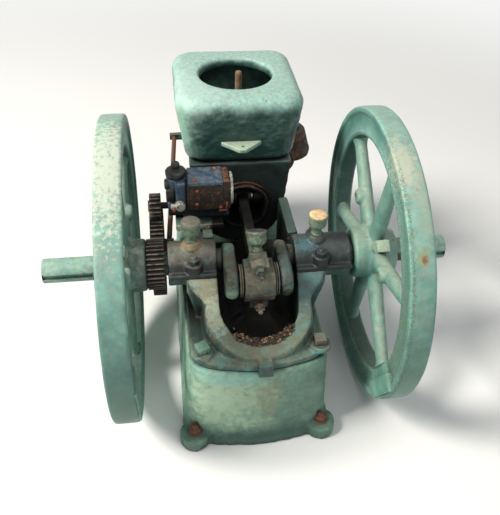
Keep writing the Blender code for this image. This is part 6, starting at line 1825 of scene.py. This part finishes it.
@dataclass
class Magneto(Assembly):
    """Geared magneto on its bracket: cast housing, iron pole shoe, cap and terminals."""

    left: float = -0.136
    right: float = -0.028
    front: float = 0.070
    back: float = 0.120
    top: float = 0.112
    shaft_y: float = 0.107848
    shaft_z: float = 0.044738

    def build(self) -> None:
        """Builds the magneto's pieces."""
        body = Shape()
        bottom = 0.0256
        body.block((-0.110, self.front + 0.0203, bottom), (self.right, self.back, self.top), 0.003)
        drum = [(0, 0), (0.0187, 0), (0.0190, 0.002), (0.0190, 0.106), (0.0180, 0.108), (0, 0.108)]
        body.revolve(drum, X, (self.left, self.shaft_y, self.shaft_z), 48)
        column = [(0, 0), (0.0165, 0), (0.0172, 0.003), (0.0172, 0.048), (0.0165, 0.0505), (0, 0.0508)]
        body.revolve(column, Z, (-0.1196, 0.1000, 0.0612), 48)
        body.block((-0.122, self.front + 0.002, 0.060), (-0.1036, self.back, self.top), 0.004)
        mesh = roughened(cast("magneto_housing", body, 1.0, 4, 0.35), 0.2, 8.0, 3.0)
        self.fit("magneto_housing", mesh, ALUMINIUM, Slot.ALUMINIUM, "magneto_body")
        pole = Shape().block((-0.103, self.front, 0.058), (self.right, self.front + 0.020, self.top), 0.0016)
        high = (self.right - 0.012, self.front + 0.004, self.top - 0.0015)
        pole.block((-0.103, self.front - 0.0012, 0.0655), high, 0.0010)
        self.fit("magneto_pole_shoe", pole.mesh("pole"), POLE, Slot.RUSTY_IRON, "magneto_pole_block")
        self.cover()
        self.end_plate()
        self.cap()
        self.fittings()

    def cover(self) -> None:
        """Sheet cover on top with its rim, two screws and the strap beside it."""
        z = self.top + 0.0003
        shape = Shape().block((-0.1010, self.front - 0.002, z), (-0.0410, self.back - 0.002, z + 0.0034), 0.0009)
        shape.block((-0.1010, self.front - 0.0022, z - 0.004), (-0.0410, self.front - 0.0006, z + 0.0030), 0.0006)
        self.fit("magneto_top_cover", shape.mesh("cover"), ALUMINIUM, Slot.ALUMINIUM, "magneto_cover")
        strap = Shape().block((-0.0405, self.front - 0.001, z), (-0.0300, self.back - 0.004, z + 0.0026), 0.0008)
        for y in (0.082, 0.108):
            strap.merge(nut(0.0070, 0.0030, (-0.0352, y, z + 0.0026), Z, 6, 0.002))
        self.fit("magneto_strap", strap.mesh("strap"), RUSTY, Slot.RUSTY_IRON)
        head = [(0, 0), (0.0040, 0), (0.0038, 0.0012), (0.0020, 0.0022), (0, 0.0024)]
        screw = Shape()
        for x, y in ((-0.0905, 0.0755), (-0.0520, 0.1120)):
            screw.revolve(head, Z, (x, y, z + 0.0034), 20)
        self.fit("magneto_cover_screws", screw.mesh("screws"), COPPER, Slot.BRASS)

    def end_plate(self) -> None:
        """Round end plate with a rim and four dark screws."""
        centre = Vector((self.right, (self.front + self.back) / 2, self.top - 0.027))
        profile = [(0, 0.0003), (0.0290, 0.0003), (0.0292, 0.0030), (0.0286, 0.0046), (0.0262, 0.0052)]
        profile += [(0.0250, 0.0042), (0.0060, 0.0040), (0.0052, 0.0060), (0, 0.0062)]
        shape = Shape().revolve(profile, X, centre, 64)
        self.fit("magneto_end_disc", shape.mesh("end_disc", 34), ZINC, Slot.ALUMINIUM, "magneto_end_plate")
        screws = Shape()
        for angle in (100, 190, 260, 350):
            turn = math.radians(angle)
            seat = centre + Vector((0.0040, 0.0195 * math.cos(turn), 0.0195 * math.sin(turn)))
            screws.revolve([(0, -0.001), (0.0030, -0.001), (0.0029, 0.0008), (0, 0.0010)], X, seat, 16)
        self.fit("magneto_end_screws", screws.mesh("end_screws"), MOULDING, Slot.MOULDING)

    def cap(self) -> None:
        """Moulded cap with its knob, and the moulded block on the left end."""
        seat = Vector((-0.1200, 0.1010, self.top + 0.0003))
        profile = [
            (0, 0), (0.0160, 0), (0.0178, 0.0016), (0.0180, 0.0085), (0.0165, 0.0108), (0.0120, 0.0122),
            (0.0066, 0.0128), (0.0058, 0.0150), (0.0072, 0.0168), (0.0074, 0.0225), (0.0060, 0.0250), (0, 0.0258),
        ]
        cap = Shape().revolve(profile, Z, seat, 56)
        self.fit("magneto_moulded_cap", cap.mesh("cap", 40), MOULDING, Slot.MOULDING, "magneto_cap")
        profile = [(0, 0), (0.0062, 0), (0.0062, 0.0080), (0.0090, 0.0095), (0.0090, 0.0168), (0.0070, 0.0180)]
        seat = (-0.1225, self.shaft_y - 0.012, self.top - 0.014)
        knob = Shape().revolve(profile + [(0, 0.0182)], -X, seat, 32)
        knob.block((-0.1385, 0.0800, 0.0700), (-0.1235, 0.0985, 0.0930), 0.0022)
        self.fit("magneto_terminal_block", knob.mesh("knob"), MOULDING, Slot.MOULDING, "magneto_terminal")

    def fittings(self) -> None:
        """Screws on the pole shoe, the white boss with its copper tip and the small straps."""
        screws = Shape()
        head = [(0, 0), (0.0036, 0), (0.0034, 0.0014), (0.0018, 0.0024), (0, 0.0026)]
        for x, z in ((-0.0858, 0.0980), (-0.0862, 0.0706), (-0.0450, 0.0625)):
            screws.revolve(head, -Y, (x, self.front - 0.0012, z), 20)
        tip = [(0, 0), (0.0030, 0), (0.0028, 0.0050), (0, 0.0052)]
        screws.revolve(tip, -Y, (-0.1262, self.front - 0.0105, 0.0690), 16)
        screws.block((-0.0360, self.front - 0.0030, 0.0560), (-0.0330, self.front, 0.0740), 0.0006)
        screws.block((-0.0480, self.front - 0.0030, 0.0545), (-0.0330, self.front, 0.0575), 0.0006)
        self.fit("magneto_copper_screws", screws.mesh("copper"), COPPER, Slot.BRASS)
        boss = Shape()
        profile = [(0, 0), (0.0090, 0), (0.0092, 0.0020), (0.0086, 0.0085), (0.0070, 0.0105), (0, 0.0108)]
        boss.revolve(profile, -Y, (-0.1150, self.front + 0.0030, 0.0690), 32)
        arm = [(0, 0), (0.0052, 0), (0.0050, 0.0130), (0, 0.0134)]
        boss.revolve(arm, -X, (-0.1180, self.front - 0.0020, 0.0690), 20)
        self.fit("magneto_zinc_boss", boss.mesh("boss"), ZINC, Slot.ALUMINIUM)
        edge = Shape().block((-0.1225, self.front - 0.0010, 0.0150), (-0.0640, self.front + 0.0010, 0.0262), 0.0006)
        self.fit("magneto_bracket_edge", edge.mesh("edge"), ZINC, Slot.ALUMINIUM)


@dataclass
class ValveGear(Assembly):
    """Rocker, valve, spring, push rod and its guide, on the head's end."""

    def build(self) -> None:
        """Builds the valve gear."""
        nodes = {
            "rocker_arm": (0.9, GREASY, Slot.WORN_IRON),
            "push_rod_guide": (0.9, RUBBED, Slot.WORN_IRON),
        }
        for node, (voxel, finish, slot) in nodes.items():
            self.fit(node + "_forging", cast(node, node_shape(node), voxel, 4, 0.4), finish, slot, node)
        low, high = Vector((-0.1377, 0.1389, -0.0569)), Vector((-0.116, 0.4657, -0.020))
        along = (high - low).normalized()
        length = (high - low).length
        profile = [(0, 0.0002), (0.0048, 0.001), (0.0050, 0.004), (0.0050, length - 0.006)]
        profile += [(0.0042, length - 0.0008), (0, length - 0.0004)]
        rod = Shape().revolve(profile, along, low, 28)
        self.fit("push_rod_bar", rod.mesh("push_rod_bar"), RUSTY, Slot.RUSTY_IRON, "push_rod")
        for node, finish, slot in (("exhaust_valve", STEEL, Slot.STEEL), ("valve_spring", RUSTY, Slot.RUSTY_IRON)):
            dress(node, finish)
        seat = (0.050, 0.4423, 0.045)
        plug = Shape().prism(hexagon(0.021), Y, seat, 0.011, 0.001)
        profile = [(0, 0.010), (0.0072, 0.011), (0.0070, 0.014), (0.0062, 0.0155), (0.0068, 0.017)]
        profile += [(0.0060, 0.0185), (0.0062, 0.026), (0.0030, 0.0275), (0.0030, 0.0350), (0, 0.0358)]
        plug.revolve(profile, Y, seat, 28)
        self.fit("spark_plug_body", plug.mesh("spark_plug_body"), ZINC, Slot.STEEL, "spark_plug")


def dress(node: str, finish: Finish) -> None:
    """Gives a CAD node that stays in view its finish.

    Args:
        node: Name of the CAD node.
        finish: Its finish.
    """
    obj = NODES[node]
    obj.data.materials.clear()
    obj.data.materials.append(finish.material())


@dataclass
class ExhaustAndFuel(Assembly):
    """Exhaust elbow and pot, mixer and fuel pipe."""

    pot_foot: Place = (0.1388, 0.4213, -0.057325)

    def build(self) -> None:
        """Builds the exhaust and the fuel side."""
        mesh = roughened(cast("exhaust_elbow_pipe", node_shape("exhaust_elbow"), 1.5, 5, 0.4), 0.3, 8.0)
        self.fit("exhaust_elbow_pipe", mesh, SCALE, Slot.RUSTY_IRON, "exhaust_elbow")
        profile = [
            (0, 0.0), (0.0225, 0.0), (0.0228, 0.0080), (0.0300, 0.0105), (0.0400, 0.0125), (0.0468, 0.0180),
            (0.0482, 0.0240), (0.0480, 0.0300), (0.0466, 0.0320), (0.0362, 0.0700), (0.0345, 0.0750),
            (0.0325, 0.0770), (0.0230, 0.0770), (0.0212, 0.0755), (0.0210, 0.0620), (0, 0.0615),
        ]
        pot = roughened(Shape().revolve(profile, Z, self.pot_foot, 72).mesh("exhaust_pot_body", 45), 0.5, 9.0)
        self.fit("exhaust_pot_body", pot, SCALE, Slot.RUSTY_IRON, "exhaust_pot")
        mesh = cast("mixer_body", node_shape("mixer"), 0.9, 3, 0.4)
        self.fit("mixer_body", mesh, BRASS, Slot.BRASS, "mixer")
        mesh = cast("fuel_pipe_tube", node_shape("fuel_pipe"), 0.8, 4, 0.3)
        self.fit("fuel_pipe_tube", mesh, BRASS, Slot.BRASS, "fuel_pipe")


@dataclass
class Fasteners(Assembly):
    """Flange bolts, lug nuts and head nuts."""

    castings: Castings
    lug_top: float = -0.2464
    head_face: float = 0.4421

    def build(self) -> None:
        """Builds the fasteners."""
        bolts = Shape()
        x, y, z = self.castings.bolt_left
        centre = Matrix.Translation((x, y, 0))
        turn = centre @ Matrix.Rotation(math.radians(24), 4, "Z") @ centre.inverted()
        bolts.merge(nut(0.0200, 0.0130, (x, y, z + 0.0052), Z, 4, 0.0), turn)
        self.fit("flange_bolt_left", bolts.mesh("flange_bolt"), BASE_PAINT, Slot.PAINTED)
        x, y, z = self.castings.bolt_right
        other = Shape().merge(nut(0.0200, 0.0130, (x, y, z + 0.0052), Z, 4, 0.0))
        for x, y in ((-0.095, 0.120), (0.100, 0.120)):
            other.merge(nut(0.0190, 0.0120, (x, y, -0.0867), Z, 4, 0.0))
        self.fit("flange_bolts", other.mesh("flange_bolts"), RUBBED, Slot.PAINTED)
        lugs = Shape()
        for x in (-0.110, 0.110):
            for y in (-0.160, 0.362):
                lugs.merge(nut(0.0200, 0.0100, (x, y, self.lug_top), Z, 6, 0.006))
        mesh = roughened(cast("lug_nuts", lugs, 0.8, 2, 0.5), 1.1, 6.0, 5.0)
        self.fit("lug_nuts", mesh, RUSTY, Slot.PAINTED)
        head = Shape()
        for x, z in ((-0.066, 0.062), (0.066, 0.062), (-0.066, -0.062), (0.066, -0.062), (0.0, 0.074)):
            head.merge(nut(0.0190, 0.0100, (x, self.head_face, z), Y, 6, 0.005))
        self.fit("head_nuts", head.mesh("head_nuts"), RUBBED, Slot.WORN_IRON)


@dataclass(frozen=True)
class Studio:
    """Camera, lights and floor.

    Attributes:
        eye: Camera position about the crank's centre.
        right: Camera's right-hand direction.
        up: Camera's upward direction.
        ahead: Viewing direction.
        focal: Focal length in pixels.
        centre: Picture coordinates that the camera's axis meets.
        size: Picture size in pixels.
        backdrop: sRGB hex of the background.
        sensor: Width of the sensor in millimetres.
        floor_half: Half the floor's side in metres.
    """

    eye: Place = (-0.1288, -0.8985, 0.7514)
    right: Place = (0.98884, -0.14397, 0.03844)
    up: Place = (0.05365, 0.58466, 0.80950)
    ahead: Place = (0.13902, 0.79839, -0.58587)
    focal: float = 680.5
    centre: Point = (268.35, 214.07)
    size: tuple[int, int] = (500, 515)
    backdrop: str = "#f4f4f2"
    sensor: float = 36.0
    floor_half: float = 14.0

    def camera(self) -> None:
        """Sets the camera at the photograph's angle."""
        data = bpy.data.cameras.new("camera")
        data.sensor_width = self.sensor
        longest = max(self.size)
        data.lens = self.focal * self.sensor / longest
        data.shift_x = (self.size[0] / 2 - self.centre[0]) / longest
        data.shift_y = (self.centre[1] - self.size[1] / 2) / longest
        data.clip_start = 0.05
        obj = bpy.data.objects.new("camera", data)
        place = Matrix((self.right, self.up, -Vector(self.ahead))).transposed().to_4x4()
        place.translation = Vector(self.eye) + CRANK
        obj.matrix_world = place
        bpy.context.scene.collection.objects.link(obj)
        bpy.context.scene.camera = obj

    def light(self, name: str, place: Place, aim: Place, size: float, power: float, colour: str) -> None:
        """Adds a square softbox.

        Args:
            name: Name of the light.
            place: Its position in the row frame.
            aim: Point that it faces.
            size: Length of its side.
            power: Power in watts.
            colour: sRGB hex of its light.
        """
        data = bpy.data.lights.new(name, "AREA")
        data.energy = power
        data.size = size
        data.color = linear(colour)[:3]
        obj = bpy.data.objects.new(name, data)
        obj.location = place
        obj.rotation_euler = (Vector(aim) - Vector(place)).to_track_quat("-Z", "Y").to_euler()
        bpy.context.scene.collection.objects.link(obj)

    def shown(self, tree: bpy.types.NodeTree) -> bpy.types.NodeSocket:
        """1 for the rays that show the background: camera, glossy and transmission rays."""
        path = add(tree, "LightPath", {}).outputs
        either = add(tree, "Math", {0: path["Is Camera Ray"], 1: path["Is Glossy Ray"]}, operation="MAXIMUM").outputs[0]
        return add(tree, "Math", {0: either, 1: path["Is Transmission Ray"]}, operation="MAXIMUM").outputs[0]

    def floor(self) -> None:
        """Adds the plain pale floor, which runs out into the backdrop."""
        bm = bmesh.new()
        bmesh.ops.create_grid(bm, x_segments=1, y_segments=1, size=self.floor_half)
        mesh = bpy.data.meshes.new("floor")
        bm.to_mesh(mesh)
        bm.free()
        obj = bpy.data.objects.new("floor", mesh)
        material = bpy.data.materials.new("floor")
        material.use_nodes = True
        tree = material.node_tree
        tree.nodes.clear()
        near = add(tree, "BsdfPrincipled", {"Base Color": linear("#e9e9e6"), "Roughness": 0.9})
        far = add(tree, "Emission", {"Color": linear(self.backdrop), "Strength": 1.0})
        away = add(tree, "VectorMath", {0: add(tree, "TexCoord", {}).outputs["Object"]}, operation="LENGTH")
        limits = {"Value": away.outputs["Value"], "From Min": 0.9, "From Max": 2.4}
        share = add(tree, "MapRange", limits, interpolation_type="SMOOTHSTEP").outputs[0]
        share = add(tree, "Math", {0: share, 1: self.shown(tree)}, operation="MULTIPLY").outputs[0]
        both = add(tree, "MixShader", {0: share, 1: near.outputs[0], 2: far.outputs[0]})
        add(tree, "OutputMaterial", {"Surface": both.outputs[0]})
        mesh.materials.append(material)
        bpy.context.scene.collection.objects.link(obj)
        obj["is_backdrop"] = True

    def world(self) -> None:
        """Soft grey surroundings, pale where they show."""
        world = bpy.data.worlds.new("studio")
        bpy.context.scene.world = world
        world.use_nodes = True
        tree = world.node_tree
        tree.nodes.clear()
        soft = add(tree, "Background", {"Color": linear("#dfe4e8"), "Strength": 0.25})
        white = add(tree, "Background", {"Color": linear(self.backdrop), "Strength": 1.0})
        both = add(tree, "MixShader", {0: self.shown(tree), 1: soft.outputs[0], 2: white.outputs[0]})
        add(tree, "OutputWorld", {"Surface": both.outputs[0]})

    def build(self) -> None:
        """Sets up the studio."""
        self.camera()
        self.light("key", (-3.1, -0.75, 3.4), (0, 0, 0.2), 1.3, 290.0, "#fffaf3")
        self.light("fill", (1.5, -2.2, 1.6), (0, 0, 0.25), 2.2, 7.0, "#eaf2ff")
        self.light("top", (0.4, -0.9, 2.6), (0, 0, 0.2), 1.8, 20.0, "#ffffff")
        self.floor()
        self.world()
        bpy.context.scene.view_settings.view_transform = "Standard"


def write_size(key: str, sizes: dict[str, object]) -> None:
    """Args:
        key: Name of the entry.
        sizes: Entries so far.
    """
    low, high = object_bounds()
    sizes[key] = [list(map(float, low)), list(map(float, high))]


def main() -> None:
    """Builds every sub-assembly in order and logs its pieces."""
    logging.basicConfig(level=logging.INFO, format="%(name)s %(message)s")
    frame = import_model()
    NODES.update(frame["nodes"])
    sizes: dict[str, object] = {}
    write_size("cad", sizes)
    castings = Castings()
    assemblies: list[Assembly] = [
        castings,
        Hopper(),
        MainBearings(),
        Throw(),
        Crankshaft(),
        TimingGears(),
        Magneto(),
        ValveGear(),
        ExhaustAndFuel(),
        Fasteners(castings),
        Flywheel(-1, 30.0),
        Flywheel(1, 45.0),
    ]
    for assembly in assemblies:
        assembly.build()
    Studio().build()
    write_size("visual", sizes)


if __name__ == "__main__":
    main()
